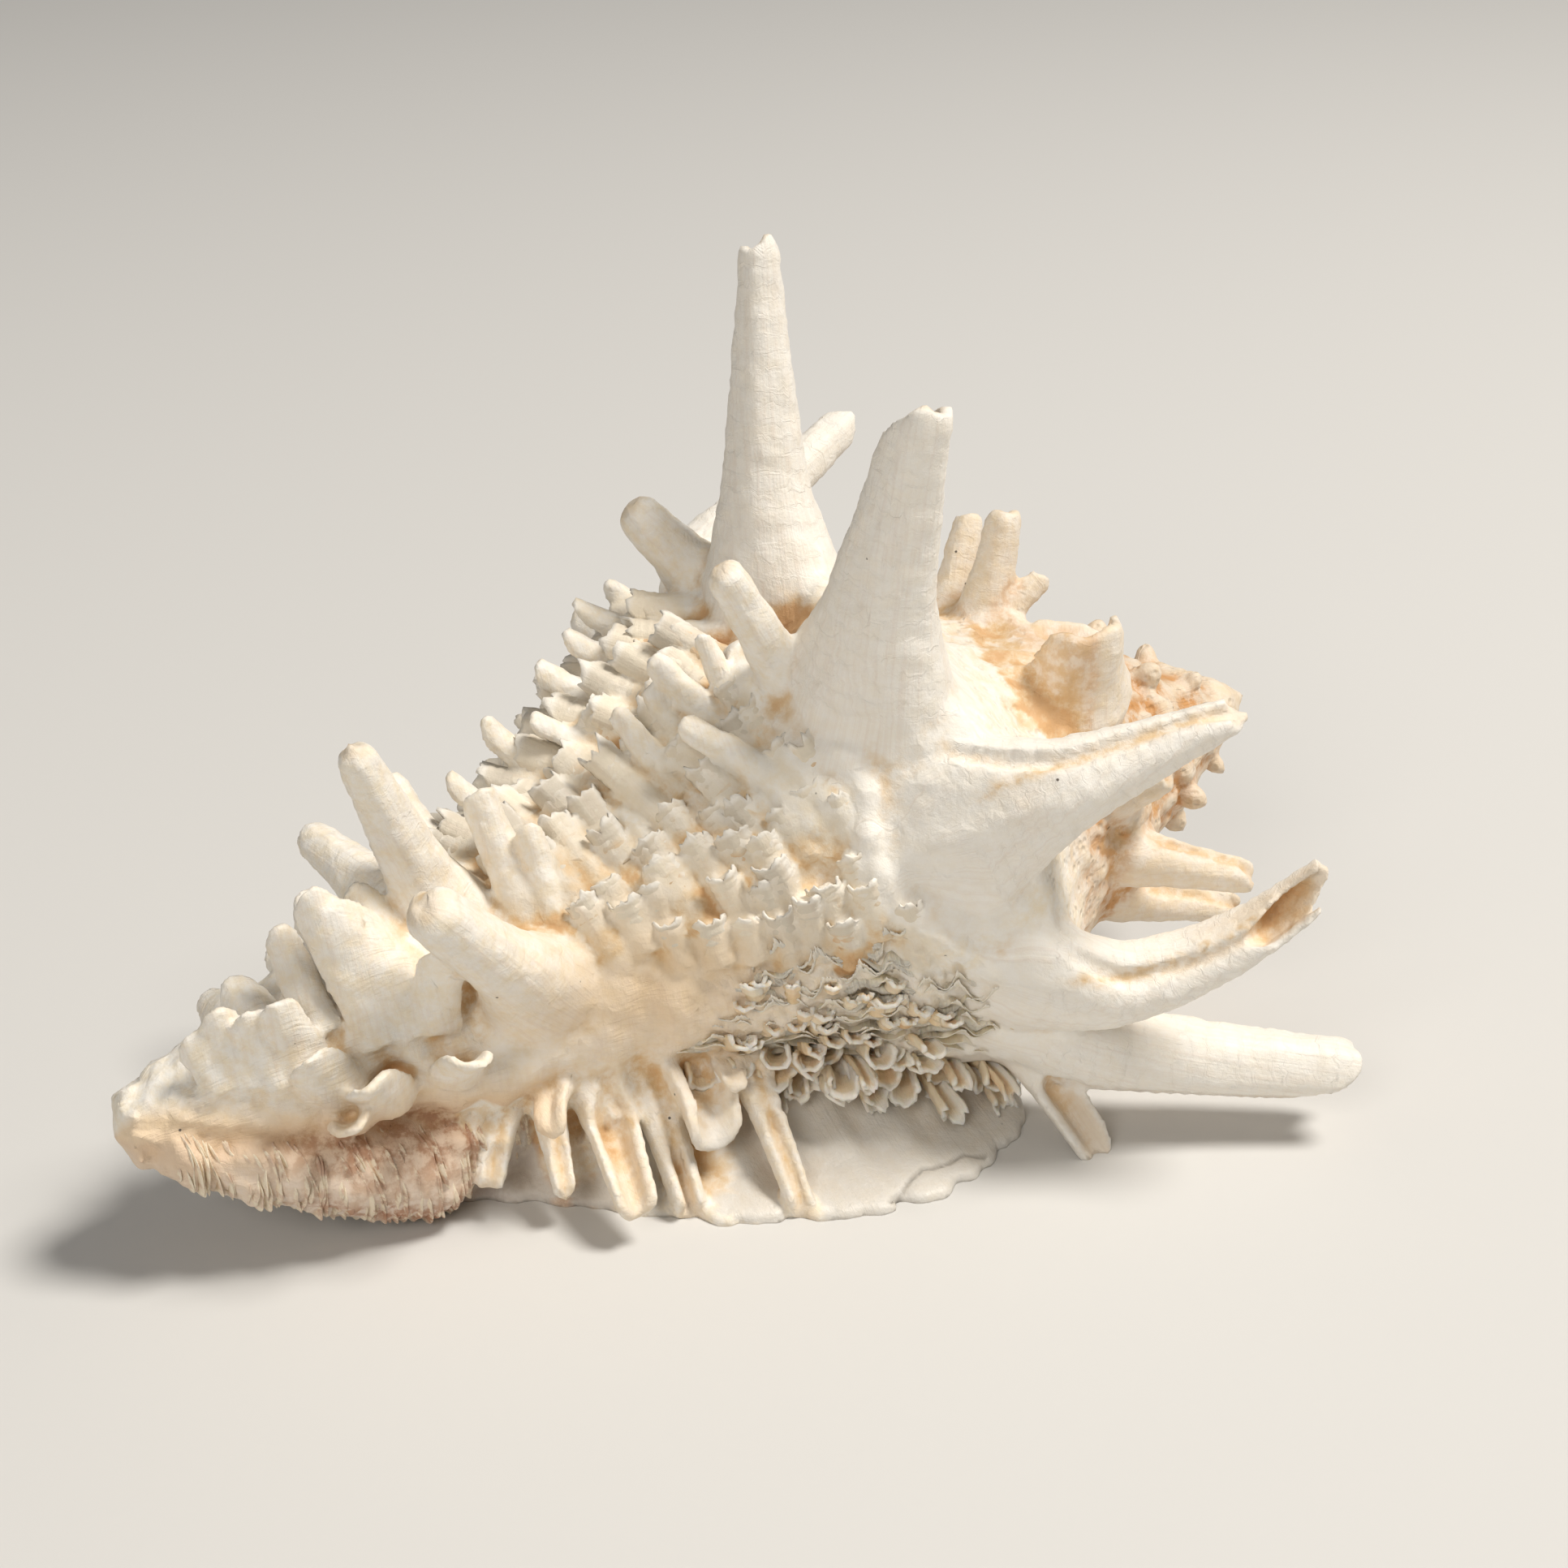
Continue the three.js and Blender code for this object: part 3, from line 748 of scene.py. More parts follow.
def scale_field(frames, shape):
    """Closed arched scales on frames of the body, with their masks of stain and painted shade at the root and
    of rim, and their grain.

    rise and curl are the slopes at root and free edge, arc is half the angle that the arch spans, tip is
    how round and rag how torn the free edge is, and thin is the share of the wall that is left there."""
    many = len(shape["long"])
    long, wide, rise, curl, arc, tip, rag, yaw, flare, wall, thin = (
        np.broadcast_to(shape[key], many).reshape(many, 1, 1).astype(float) for key in SCALE_KEYS)
    here, forward, sideways, normal = (axis[:, None, None] for axis in frames)
    ahead_axis = np.cos(yaw)[..., None] * forward + np.sin(yaw)[..., None] * sideways
    side_axis = np.cos(yaw)[..., None] * sideways - np.sin(yaw)[..., None] * forward
    u = np.linspace(0, 1, SCALE_LONG)[None, :, None]
    v = np.linspace(-1, 1, SCALE_AROUND)[None, None]
    phase = rng.uniform(0, 6.28, (4, many, 1, 1))
    ragged = np.sin(4 * v + phase[0]) + 0.7 * np.sin(9 * v + phase[1]) + 0.5 * np.sin(17 * v + phase[3])
    rounding = tip * wide / long * (1 - np.sqrt(1 - 0.98 * v * v))
    out = u * (1 - rounding + rag * ragged * u ** 3)
    bending = np.where(np.abs(curl - rise) < LEAST_BEND, LEAST_BEND, curl - rise)
    slope = rise + bending * out
    along = long * (np.sin(slope) - np.sin(rise)) / bending
    lift = long * (np.cos(rise) - np.cos(slope)) / bending
    theta = v * arc
    bow = wide / 2 / np.sin(np.minimum(arc, np.pi / 2)) * (1 + flare * (out - 0.5))
    ribs = RIB_HIGH * np.sin(2 * np.pi * out * long / RIB_STEP + phase[2] + 1.5 * v * v)
    ribs = ribs + 0.05 * np.sin(7 * theta + phase[0]) * out
    wall = wall * lerp(1, thin, out)
    skins = []
    for inset in (0 * wall, wall):
        radius = bow + ribs - inset
        back = np.cos(theta) * radius - bow
        ahead = along - np.sin(slope) * back
        high = lift + np.cos(slope) * back
        skins.append(here + ahead[..., None] * ahead_axis + (np.sin(theta) * radius)[..., None] * side_axis
                     + high[..., None] * normal)
    # Tan at the root of each scale: partly stain, partly painted shade.
    stain_and_shade = np.stack([fade(out, 0.3, 0.72), 0.4 + 0.6 * (1 - out)], axis=1)
    rim = np.maximum(smoothstep(out, 0.82, 1.0), smoothstep(v, 0.35, 0.8) * np.ones_like(out))
    grain = np.stack(np.broadcast_arrays(along, theta * bow, phase[0] * 50), axis=-1)
    return np.stack(skins, axis=1), stain_and_shade, np.stack([rim, rim], axis=1), np.stack([grain, grain], axis=1)


def scale_faces(many):
    """Quads of closed scales: two skins and the rim between them."""
    grid = np.arange(SCALE_LONG * SCALE_AROUND).reshape(SCALE_LONG, SCALE_AROUND)
    size = grid.size
    quads = np.stack([grid[:-1, :-1], grid[:-1, 1:], grid[1:, 1:], grid[1:, :-1]], axis=-1).reshape(-1, 4)
    rim = np.concatenate([grid[0], grid[1:, -1], grid[-1, -2::-1], grid[-2:0:-1, 0]])
    after = np.roll(rim, -1)
    band = np.stack([rim, after, after + size, rim + size], axis=-1)
    one = np.concatenate([quads[:, ::-1], quads + size, band])
    return (np.arange(many)[:, None, None] * 2 * size + one[None]).reshape(-1, 4)


print("one scale has", len(scale_faces(1)), "faces")

# %% [markdown]
# ## Long fingers
# Some scales grew long enough to be seen one by one: the fingers under the shoulder, those that stand out
# at the top left, and the curved ones that lean over the canal, which are flatter, like leaves. Each has
# its own entry: turn, place along the body, length, width, slope and heading, where 0 is the way of growth.

# %% Fingers
FINGERS = [
    (78, 0.81, 8, 2.4, 38, 0), (60, 0.82, 9, 2.5, 22, -24), (80, 0.825, 6.5, 2, 36, 36),
    (81, 0.77, 5.5, 2, 38, 20), (77, 0.73, 7, 2.2, 38, 8), (128, 0.92, 4.5, 2.2, 60, 0),
    (119, 0.89, 7.5, 2.7, 52, -40), (113, 0.84, 7.5, 2.6, 52, -38), (111, 0.785, 8, 2.8, 54, -30),
    (101, 0.735, 7.5, 2.3, 42, -40), (109, 0.675, 8, 2.8, 54, -28), (112, 0.6, 6.5, 2.6, 52, -42),
    (63, 0.5, 11, 3.3, 30, 15), (56, 0.525, 8, 2.6, 24, 20), (41, 0.29, 14, 3, 20, 0),
    (55, 0.23, 9, 2.5, 24, 8), (41, 0.34, 12.5, 4.6, 20, -14), (58, 0.37, 9.5, 3, 24, -12),
    (71, 0.4, 5, 2.6, 30, -20), (30, 0.34, 8, 3, 24, 30), (92, 0.32, 7.5, 3.6, 14, 0),
    (132, 0.3, 7, 4, 12, 0), (176, 0.3, 8, 4, 28, 0), (42, 0.11, 5.5, 2.6, 18, -4),
    (40, 0.14, 7, 2.8, 20, 0), (31, 0.17, 7.5, 3, 18, 0), (27, 0.2, 8.5, 3, 18, 0),
    (8, 0.23, 7.5, 3.4, 18, -18), (-9, 0.275, 8, 3.5, 18, -15), (75, 0.18, 5, 3, 5, 0),
    (120, 0.17, 5, 3, 5, 0), (-4, 0.34, 7, 3.4, 30, 20), (-20, 0.23, 6, 3, 24, -10),
    (-44, 0.59, 7.6, 5.4, 56, 24), (-38, 0.46, 5.5, 3, 40, -30), (-37, 0.64, 4.5, 2.4, 36, 12),
]
FINGER_KEYS = ("turn", "along", "long", "wide", "slope", "yaw")
FINGER_LIFT, FINGER_SINK = 0.9, 0.15

finger = dict(zip(FINGER_KEYS, np.array(FINGERS, float).T))
leafy = fade(finger["along"], 0.4, 0.46)
finger_shape = dict(
    long=finger["long"], wide=finger["wide"] * (1 + 0.32 * leafy), wall=1.5 - 0.35 * leafy,
    rise=np.radians(0.75 * finger["slope"] + 3), curl=np.radians(1.5 * finger["slope"] + 6),
    arc=np.radians(98 - 32 * leafy), yaw=np.radians(finger["yaw"]), tip=0.66, rag=0.01, flare=-0.22, thin=0.5)
here, forward, sideways, normal = body_frame(finger["turn"], finger["along"])
root = here + FINGER_LIFT * normal - FINGER_SINK * finger["long"][:, None] * forward
finger_points = scale_field((root, forward, sideways, normal), finger_shape)[0].reshape(-1, 3)
print("long fingers:", len(FINGERS))

# %% [markdown]
# ## Rows of scales
# Between the shoulder and the canal the cords carry scales that overlap like roof tiles. In the middle
# they are worn flat, and towards the top they stand up as rounded fingers. They are thick enough to be
# fused with the wall, and that fills the gaps between the rows as silt and wear did on the shell.

# %% Places of the scales
FIRST_CORD_ALONG = 0.5
FIELD_EDGE = np.array([
    [-60, 0.965], [-15, 0.955], [-3, 0.925], [8, 0.875], [22, 0.84], [34, 0.845], [43, 0.868], [52, 0.872],
    [61, 0.853], [73, 0.838], [84, 0.86], [96, 0.93], [210, 0.96],
])
FIELD_FOOT = np.array([[0.5, 56], [0.56, 33], [0.62, 20], [0.7, 13], [0.8, 8], [0.88, 4], [0.96, 0]])
SCALE_STEP = 3.3
CORD_LAST_TURN = 206.0
BROKEN_SHARE = 0.07
ROOT_CLEAR, FAR_FROM_ROOT = 0.42, 9


def cord_places():
    """Turn and place along the body of every scale, cord by cord."""
    rows = []
    cord = np.ceil(slant_at(FIRST_CORD_ALONG) / CORD_STEP)
    while along_at(cord * CORD_STEP) < FIELD_EDGE[:, 1].max():
        turn = np.interp(along_at(cord * CORD_STEP), *FIELD_FOOT.T) + rng.uniform(0, 10)
        while turn < CORD_LAST_TURN:
            wander = 0.3 * np.sin(turn * 0.05 + cord * 1.7) + rng.normal(0, 0.12)
            along = float(along_at(cord * CORD_STEP + wander))
            rows.append((turn, along))
            loose = 1 + 0.3 * float(smoothstep(turn, 60, 100))
            turn += np.degrees(SCALE_STEP * loose * rng.uniform(0.65, 1.4) / float(wall_radius(turn, along)))
        cord += 1
    return np.array(rows).T


def clear_of_spines(places):
    """Which places are not taken by the root of a spine."""
    free = np.ones(len(places), bool)
    for spine in all_spines:
        direction = spine_axes(spine)[0]
        away = places - spine["foot"]
        off = away - (away @ direction)[:, None] * direction
        beside = np.linalg.norm(off, axis=1) > ROOT_CLEAR * spine["root"]
        free &= beside | (np.linalg.norm(away, axis=1) > FAR_FROM_ROOT)
    return free


row_turn, row_along = cord_places()
keep = clear_of_spines(body_point(row_turn, row_along)) & (row_along < np.interp(row_turn, *FIELD_EDGE.T))
keep &= rng.uniform(0, 1, len(row_turn)) > BROKEN_SHARE
row_turn, row_along = row_turn[keep], row_along[keep]
print("scales in the rows:", len(row_turn))

# %% [markdown]
# ## Shape of the scales
# Every number of a scale is a base, plus a change towards the top, plus a random spread. The scales over
# the top of the shell are longer, stand up more and turn away from the apex, as in the photograph.

# %% Shape of the scales
upper = smoothstep(row_turn, 46, 98)
over_the_top = smoothstep(row_turn, 80, 108)


def spread(places):
    return rng.uniform(-1, 1, len(places))


row_wide = (2.75 + 0.55 * upper) * (1 + 0.14 * spread(row_turn))
row_long = (5.2 + 1.9 * upper) * (1 + 0.26 * spread(row_turn))
row_shape = dict(
    long=row_long, wide=row_wide,
    rise=np.radians(3 + 10 * upper + 7 * over_the_top + 3 * spread(row_turn)),
    curl=np.radians(14 + 21 * upper + 8 * over_the_top + 8 * spread(row_turn)),
    arc=np.radians(62 + 30 * upper + 7 * spread(row_turn)),
    tip=0.2 + 0.4 * upper + 0.12 * spread(row_turn),
    rag=0.035 + 0.015 * spread(row_turn),
    yaw=np.radians(-32 * over_the_top + 5 * rng.normal(0, 1, len(row_turn))),
    flare=0.1 - 0.2 * upper, wall=np.minimum(1.3, 0.44 * row_wide), thin=0.7 + 0.25 * upper)
here, forward, sideways, normal = row_frames = body_frame(row_turn, row_along)
row_root = here + normal * (0.6 + 0.22 * spread(row_turn))[:, None] - forward * (0.3 * row_long)[:, None]
row_points = scale_field((row_root, forward, sideways, normal), row_shape)[0].reshape(-1, 3)
print("rows of scales:", len(row_points), "points")

# %% [markdown]
# ## Torn lips of the tiles
# The last growth of each tile is a thin brittle lip with a torn edge. The fused skin is too coarse for
# it, so the lips are thin closed scales of their own. Each starts inside its tile and comes out at the end.

# %% Lips
LIP_START, LIP_SINK = 0.5, 0.12
LIP_TURNS = (4.0, 112.0)
LEAST_HEIGHT = 0.05


def row_axes(chosen):
    """Directions ahead of and beside the chosen scales of the rows, turned by their yaw."""
    yaw = row_shape["yaw"][chosen][:, None]
    forward, sideways = row_frames[1][chosen], row_frames[2][chosen]
    return np.cos(yaw) * forward + np.sin(yaw) * sideways, np.cos(yaw) * sideways - np.sin(yaw) * forward


def thin_piece(name, points, faces):
    """A smooth object of its own, kept just above the floor."""
    points = np.array(points).reshape(-1, 3)
    points[:, 2] = np.maximum(points[:, 2], LEAST_HEIGHT)
    made = blender_object(name, points, faces)
    made.data.shade_smooth()
    print(name, "has", len(made.data.polygons), "faces")
    return made


lipped = np.flatnonzero((row_turn > LIP_TURNS[0]) & (row_turn < LIP_TURNS[1]))
rise, curl, arc, tip, yaw = (row_shape[key][lipped] for key in ("rise", "curl", "arc", "tip", "yaw"))
slope = lerp(rise, curl, LIP_START)
bend = curl - rise
start_ahead = row_long[lipped] * (np.sin(slope) - np.sin(rise)) / bend
start_high = row_long[lipped] * (np.cos(rise) - np.cos(slope)) / bend - LIP_SINK
_, forward, sideways, normal = (axis[lipped] for axis in row_frames)
lip_root = row_root[lipped] + start_ahead[:, None] * row_axes(lipped)[0] + start_high[:, None] * normal
lip_shape = dict(
    long=row_long[lipped] * rng.uniform(0.52, 0.68, len(lipped)),
    wide=row_wide[lipped] * rng.uniform(0.92, 1.06, len(lipped)),
    rise=slope + np.radians(3), curl=slope + bend * 0.5 + np.radians(rng.uniform(2, 9, len(lipped))),
    arc=arc, tip=tip * 0.9, rag=rng.uniform(0.05, 0.11, len(lipped)),
    yaw=yaw, flare=0.12, wall=0.42, thin=0.5)
lip_field = scale_field((lip_root, forward, sideways, normal), lip_shape)
lip_piece = thin_piece("tile_lips", lip_field[0], scale_faces(len(lipped)).tolist())

# %% [markdown]
# ## Work on a mesh in arrays
# Blender's meshes hand their points, normals and edges over in one call, and take points back the same way.
# With these helpers numpy can smooth, raise and measure the whole skin at once.

# %% Helpers for the skin
FIRST_TURN = -140


def applied(thing):
    """The mesh of an object with its modifiers applied, put back on the object."""
    view = bpy.context.evaluated_depsgraph_get()
    mesh = bpy.data.meshes.new_from_object(thing.evaluated_get(view))
    thing.modifiers.clear()
    thing.data = mesh
    return mesh


def mesh_points(mesh):
    flat = np.empty(len(mesh.vertices) * 3, np.float32)
    mesh.vertices.foreach_get("co", flat)
    return flat.reshape(-1, 3).astype(float) / MM


def mesh_normals(mesh):
    flat = np.empty(len(mesh.vertices) * 3, np.float32)
    mesh.vertex_normals.foreach_get("vector", flat)
    return flat.reshape(-1, 3).astype(float)


def mesh_edges(mesh):
    flat = np.empty(len(mesh.edges) * 2, np.int32)
    mesh.edges.foreach_get("vertices", flat)
    return flat.reshape(-1, 2)


def set_points(mesh, points):
    mesh.vertices.foreach_set("co", (points * MM).astype(np.float32).ravel())
    mesh.update()


def shell_places(points):
    """Distance from the canal tip, turn and place along the body of points of the skin."""
    from_tip = points - CANAL_TIP
    distance = from_tip @ APEXWARD
    turn = np.degrees(np.arctan2(from_tip @ TOP, from_tip @ NEAR))
    turn = (turn - FIRST_TURN) % 360 + FIRST_TURN
    return distance, turn, distance / (SHELL_LENGTH - LIP_TO_APEX * coil_size(turn))


def neighbour_mean(values, edges):
    """Mean over the neighbours of each point, for a column or columns of values."""
    ends = np.concatenate([edges[:, 0], edges[:, 1]])
    others = np.concatenate([edges[:, 1], edges[:, 0]])
    count = np.maximum(np.bincount(ends, minlength=len(values)), 1)
    sums = [np.bincount(ends, column[others], len(values)) for column in values.reshape(len(values), -1).T]
    return (np.stack(sums, axis=-1) / count[:, None]).reshape(values.shape)


print("helpers for the skin ready, turns from", FIRST_TURN)

# %% [markdown]
# ## Crumbs and fins
# Remesh can leave loose bubbles where two surfaces nearly touch, and Decimate can leave a fin. bmesh knows
# the neighbours of every edge and face. So fins are found as faces with a free side on a crowded edge, and
# crumbs as all parts but the largest. The gaps that they leave are filled.

# %% Take off crumbs
MOST_SIDES = 8


def without_crumbs(mesh):
    """Takes loose crumbs and fins off a mesh, and closes the gaps that they leave."""
    work = bmesh.new()
    work.from_mesh(mesh)
    crowded = {face for edge in work.edges if len(edge.link_faces) > 2 for face in edge.link_faces}
    fins = [face for face in crowded if any(edge.is_boundary for edge in face.edges)]
    bmesh.ops.delete(work, geom=fins, context="FACES")
    parts, seen = [], set()
    for start in work.verts:
        if start in seen:
            continue
        seen.add(start)
        part = [start]
        for vertex in part:
            for edge in vertex.link_edges:
                other = edge.other_vert(vertex)
                if other not in seen:
                    seen.add(other)
                    part.append(other)
        parts.append(part)
    parts.sort(key=len)
    bmesh.ops.delete(work, geom=[vertex for part in parts[:-1] for vertex in part], context="VERTS")
    gaps = [edge for edge in work.edges if edge.is_boundary]
    filled = bmesh.ops.holes_fill(work, edges=gaps, sides=MOST_SIDES)["faces"]
    bmesh.ops.triangulate(work, faces=filled)
    work.to_mesh(mesh)
    work.free()
    return len(parts) - 1


print("gaps of up to", MOST_SIDES, "sides are filled")

# %% [markdown]
# ## Fuse the grown pieces
# The pieces overlap like separate stones, but a shell is one body. Booleans would keep every seam between
# them, so the Remesh modifier turns the heap into one skin of small squares.

# %% One skin
VOXEL = 0.3

grown = [body, spines, knobs, callus, ridge, fold, (finger_points, scale_faces(len(FINGERS)).tolist()),
         (row_points, scale_faces(len(row_turn)).tolist())]
shell = blender_object("vase_shell", *joined(grown))
fuse = shell.modifiers.new("fuse", "REMESH")
fuse.mode = "VOXEL"
fuse.voxel_size = VOXEL * MM
skin = applied(shell)
crumbs = without_crumbs(skin)
print("fused skin:", len(skin.vertices), "points, crumbs taken off:", crumbs)

# %% [markdown]
# ## Fillets
# On the shell every inner corner is rounded. Smoothing would also wear the outer edges down, so the steps
# here act only where the skin bends inward, which fills each crease with a fillet. The roots of the spines
# get more steps than the rest. The scales and the canal ridge get none, because their creases are sharp.

# %% Fillets in the creases
FILLET_STEPS, ROOT_STEPS, FIRST_STEPS = 30, 90, 3
NORMALS_EVERY = 5
FIRST_PULL, FILLET_PULL = 0.12, 0.55


def past_ridge(distance, turn):
    """Degrees by which places lie past the middle of the canal ridge."""
    return turn - np.interp(distance, *CANAL_RIDGE[:, :2].T)


points, edges = mesh_points(skin), mesh_edges(skin)
at_root = np.zeros(len(points))
for spine in SHOULDER_SPINES + SPIRE_SPINES:
    gap = np.linalg.norm(points - spine["foot"], axis=1) / spine["root"]
    at_root = np.maximum(at_root, fade(gap, 0.9, 1.4))
distance, turn, along = shell_places(points)
in_field = smoothstep(along, 0.48, 0.54) * smoothstep(turn - np.interp(along, *FIELD_FOOT.T), -4, 4)
in_field = in_field * fade(along - np.interp(turn, *FIELD_EDGE.T), -0.02, 0.02)
on_ridge = fade(np.abs(past_ridge(distance, turn)), 30, 45)
on_ridge = on_ridge * fade(distance, 33, 37)
everywhere = 1 - np.maximum(in_field, on_ridge)
for step in range(FILLET_STEPS + ROOT_STEPS):
    if step % NORMALS_EVERY == 0:
        set_points(skin, points)
        normals = mesh_normals(skin)
    pull = neighbour_mean(points, edges) - points
    inward = row_dots(pull, normals)
    here_too = everywhere if step < FILLET_STEPS else at_root * everywhere
    amount = FIRST_PULL * (step < FIRST_STEPS) + FILLET_PULL * here_too * smoothstep(inward, 0.006, 0.04)
    points = points + pull * amount[:, None]
set_points(skin, points)
print("points around the roots of the spines:", int((at_root > 0.5).sum()))

# %% [markdown]
# ## Unevenness and a crack
# The finished skin is a little uneven all over, crinkled on the lower near side and smooth near the floor.
# A hairline crack runs across the callus. It is a short path over the floor, and points near it sink in.

# %% Uneven skin and crack
CRACK = np.array([
    [11.1, -27.1], [12.5, -25.1], [13.8, -23.3], [14.7, -23.1], [16.0, -22.2], [17.3, -21.2], [19.0, -21.0],
])
CRACK_HALF = 0.18
CRACK_DEEP = 0.22
CRACK_TOP = 7
SMALL_UNEVEN, TINY_UNEVEN, CRINKLE = 0.07, 0.035, 0.16


def crack_share(points):
    """1 on the hairline crack of the callus, falling to 0 beside it."""
    step = np.linspace(0, len(CRACK) - 1, 60)
    path = np.stack([np.interp(step, np.arange(len(CRACK)), column) for column in CRACK.T], axis=-1)
    share = np.zeros(len(points))
    low = np.flatnonzero(points[:, 2] < CRACK_TOP)
    gap = np.linalg.norm(points[low, None, :2] - path[None], axis=2).min(axis=1)
    share[low] = bell(gap / CRACK_HALF)
    return share


_, turn, along = shell_places(points)
crinkled = smoothstep(turn, -44, -34) * fade(turn, 4, 14)
crinkled = crinkled * smoothstep(along, 0.6, 0.68) * fade(along, 0.88, 0.95)
uneven = SMALL_UNEVEN * small_lumps(points) + (TINY_UNEVEN + CRINKLE * crinkled) * tiny_lumps(points)
uneven = uneven * smoothstep(points[:, 2], 3, 9) - CRACK_DEEP * crack_share(points)
set_points(skin, points + mesh_normals(skin) * uneven[:, None])
print("skin moved in by up to", -uneven.min().round(2), "mm, and out by up to", uneven.max().round(2), "mm")

# %% [markdown]
# ## Opening and resting face
# Under the shell is the long opening, with three folds on its inner side, as such shells have. It is cut
# by a Boolean with a loft that narrows upward. A second Boolean cuts off what reaches below the floor.
# The Decimate modifier then brings the skin to a size that suits a shared part. The resting face is shaded
# flat, and the rest smooth.

# %% Cut the opening and the floor
OPENING = np.array([
    [4, -1.5, -3.5], [14, -2.5, -5.5], [24, -4, -8], [34, -5.5, -12],
    [44, -7, -16.5], [51, -8.5, -18.5], [57, -10, -19], [63, -13, -17],
])
OPENING_LEVELS = np.array([[-3, 1], [8, 0.95], [17, 0.8], [25, 0.5]])
OPENING_MIDDLE = 40.0
FOLDS = [27.0, 32.5, 38.0]
FOLD_HIGH, FOLD_HALF = 1.3, 1.1
TOOTH_HIGH, TOOTH_PACE = 0.35, 2.1
OUTSIDE_LIMIT = 198000
SLAB = 150


def opening_cutter():
    d = np.linspace(OPENING[0, 0], OPENING[-1, 0], 80)
    near_edge = np.interp(d, OPENING[:, 0], OPENING[:, 1])
    far_edge = np.interp(d, OPENING[:, 0], OPENING[:, 2])
    rings = []
    for height in np.linspace(OPENING_LEVELS[0, 0], OPENING_LEVELS[-1, 0], 24):
        size = np.interp(height, *OPENING_LEVELS.T)
        folds = sum(bell((d - at - 0.35 * height) / FOLD_HALF) for at in FOLDS)
        folds = folds * smoothstep(height, 1, 5)
        teeth = TOOTH_HIGH * (0.5 + 0.5 * np.cos(d * TOOTH_PACE))
        teeth = teeth * smoothstep(height, 0, 2) * fade(height, 3, 6)
        middle = (near_edge + far_edge) / 2
        place = lerp(OPENING_MIDDLE, d, size)
        near_side = over_floor(place, lerp(middle, near_edge, size) - FOLD_HIGH * folds, height)
        far_side = over_floor(place, lerp(middle, far_edge, size) + teeth, height)
        rings.append(np.concatenate([near_side, far_side[::-1]]))
    return loft(np.array(rings))


def cut(thing, cutter):
    knife = thing.modifiers.new("cut", "BOOLEAN")
    knife.operation = "DIFFERENCE"
    knife.solver = "MANIFOLD"
    knife.object = cutter
    mesh = applied(thing)
    bpy.data.objects.remove(cutter)
    return mesh


slab_corners = [(-SLAB, -SLAB), (SLAB, -SLAB), (SLAB, SLAB), (-SLAB, SLAB)]
floor_slab = np.array([[x, y, z] for z in (-50, 0) for x, y in slab_corners], float)
slab_faces = [[0, 3, 2, 1], [4, 5, 6, 7], [0, 1, 5, 4], [1, 2, 6, 5], [2, 3, 7, 6], [3, 0, 4, 7]]
skin = cut(shell, blender_object("opening_cutter", *opening_cutter()))
skin = cut(shell, blender_object("floor_cutter", floor_slab, slab_faces))
skin.calc_loop_triangles()
slim = shell.modifiers.new("slim", "DECIMATE")
slim.ratio = min(1.0, OUTSIDE_LIMIT / len(skin.loop_triangles))
skin = applied(shell)
crumbs = without_crumbs(skin)
heights = mesh_points(skin)[:, 2]
corners, starts = np.empty(len(skin.loops), np.int32), np.empty(len(skin.polygons), np.int32)
skin.loops.foreach_get("vertex_index", corners)
skin.polygons.foreach_get("loop_start", starts)
skin.polygons.foreach_set("use_smooth", np.maximum.reduceat(heights[corners], starts) > LEAST_HEIGHT)
skin.update()
print("cut and slimmed:", len(skin.polygons), "faces, crumbs", crumbs, "lowest", heights.min().round(3))

# %% [markdown]
# ## Ruffles of the lower side
# Below the tiles the edge of every growth step stayed as a thin crinkled sheet, which is higher on each
# cord. A sheet is a loft of narrow rings along the body: two facing rows of three points each, from the
# root in the wall to a torn edge that leans with the growth.

# %% Ruffles
RUFFLE_EDGES = np.array([
    [-58, 0.64, 0.95], [-36, 0.62, 0.965], [-22, 0.62, 0.955], [-10, 0.65, 0.94], [0, 0.68, 0.9],
    [12, 0.72, 0.86],
])
RUFFLE_FIRST, RUFFLE_LAST, RUFFLE_COUNT = -37.0, 10.0, 19
RUFFLE_COLUMNS = 230
RUFFLE_THICK = 0.16
RUFFLE_LEAN = 2.3
RUFFLE_LIFT, RUFFLE_SINK = 0.35, -0.9


def ruffle_reach(turn):
    """Places along the body between which the ruffles lie at a turn."""
    return [np.interp(turn, RUFFLE_EDGES[:, 0], column) for column in RUFFLE_EDGES.T[1:]]


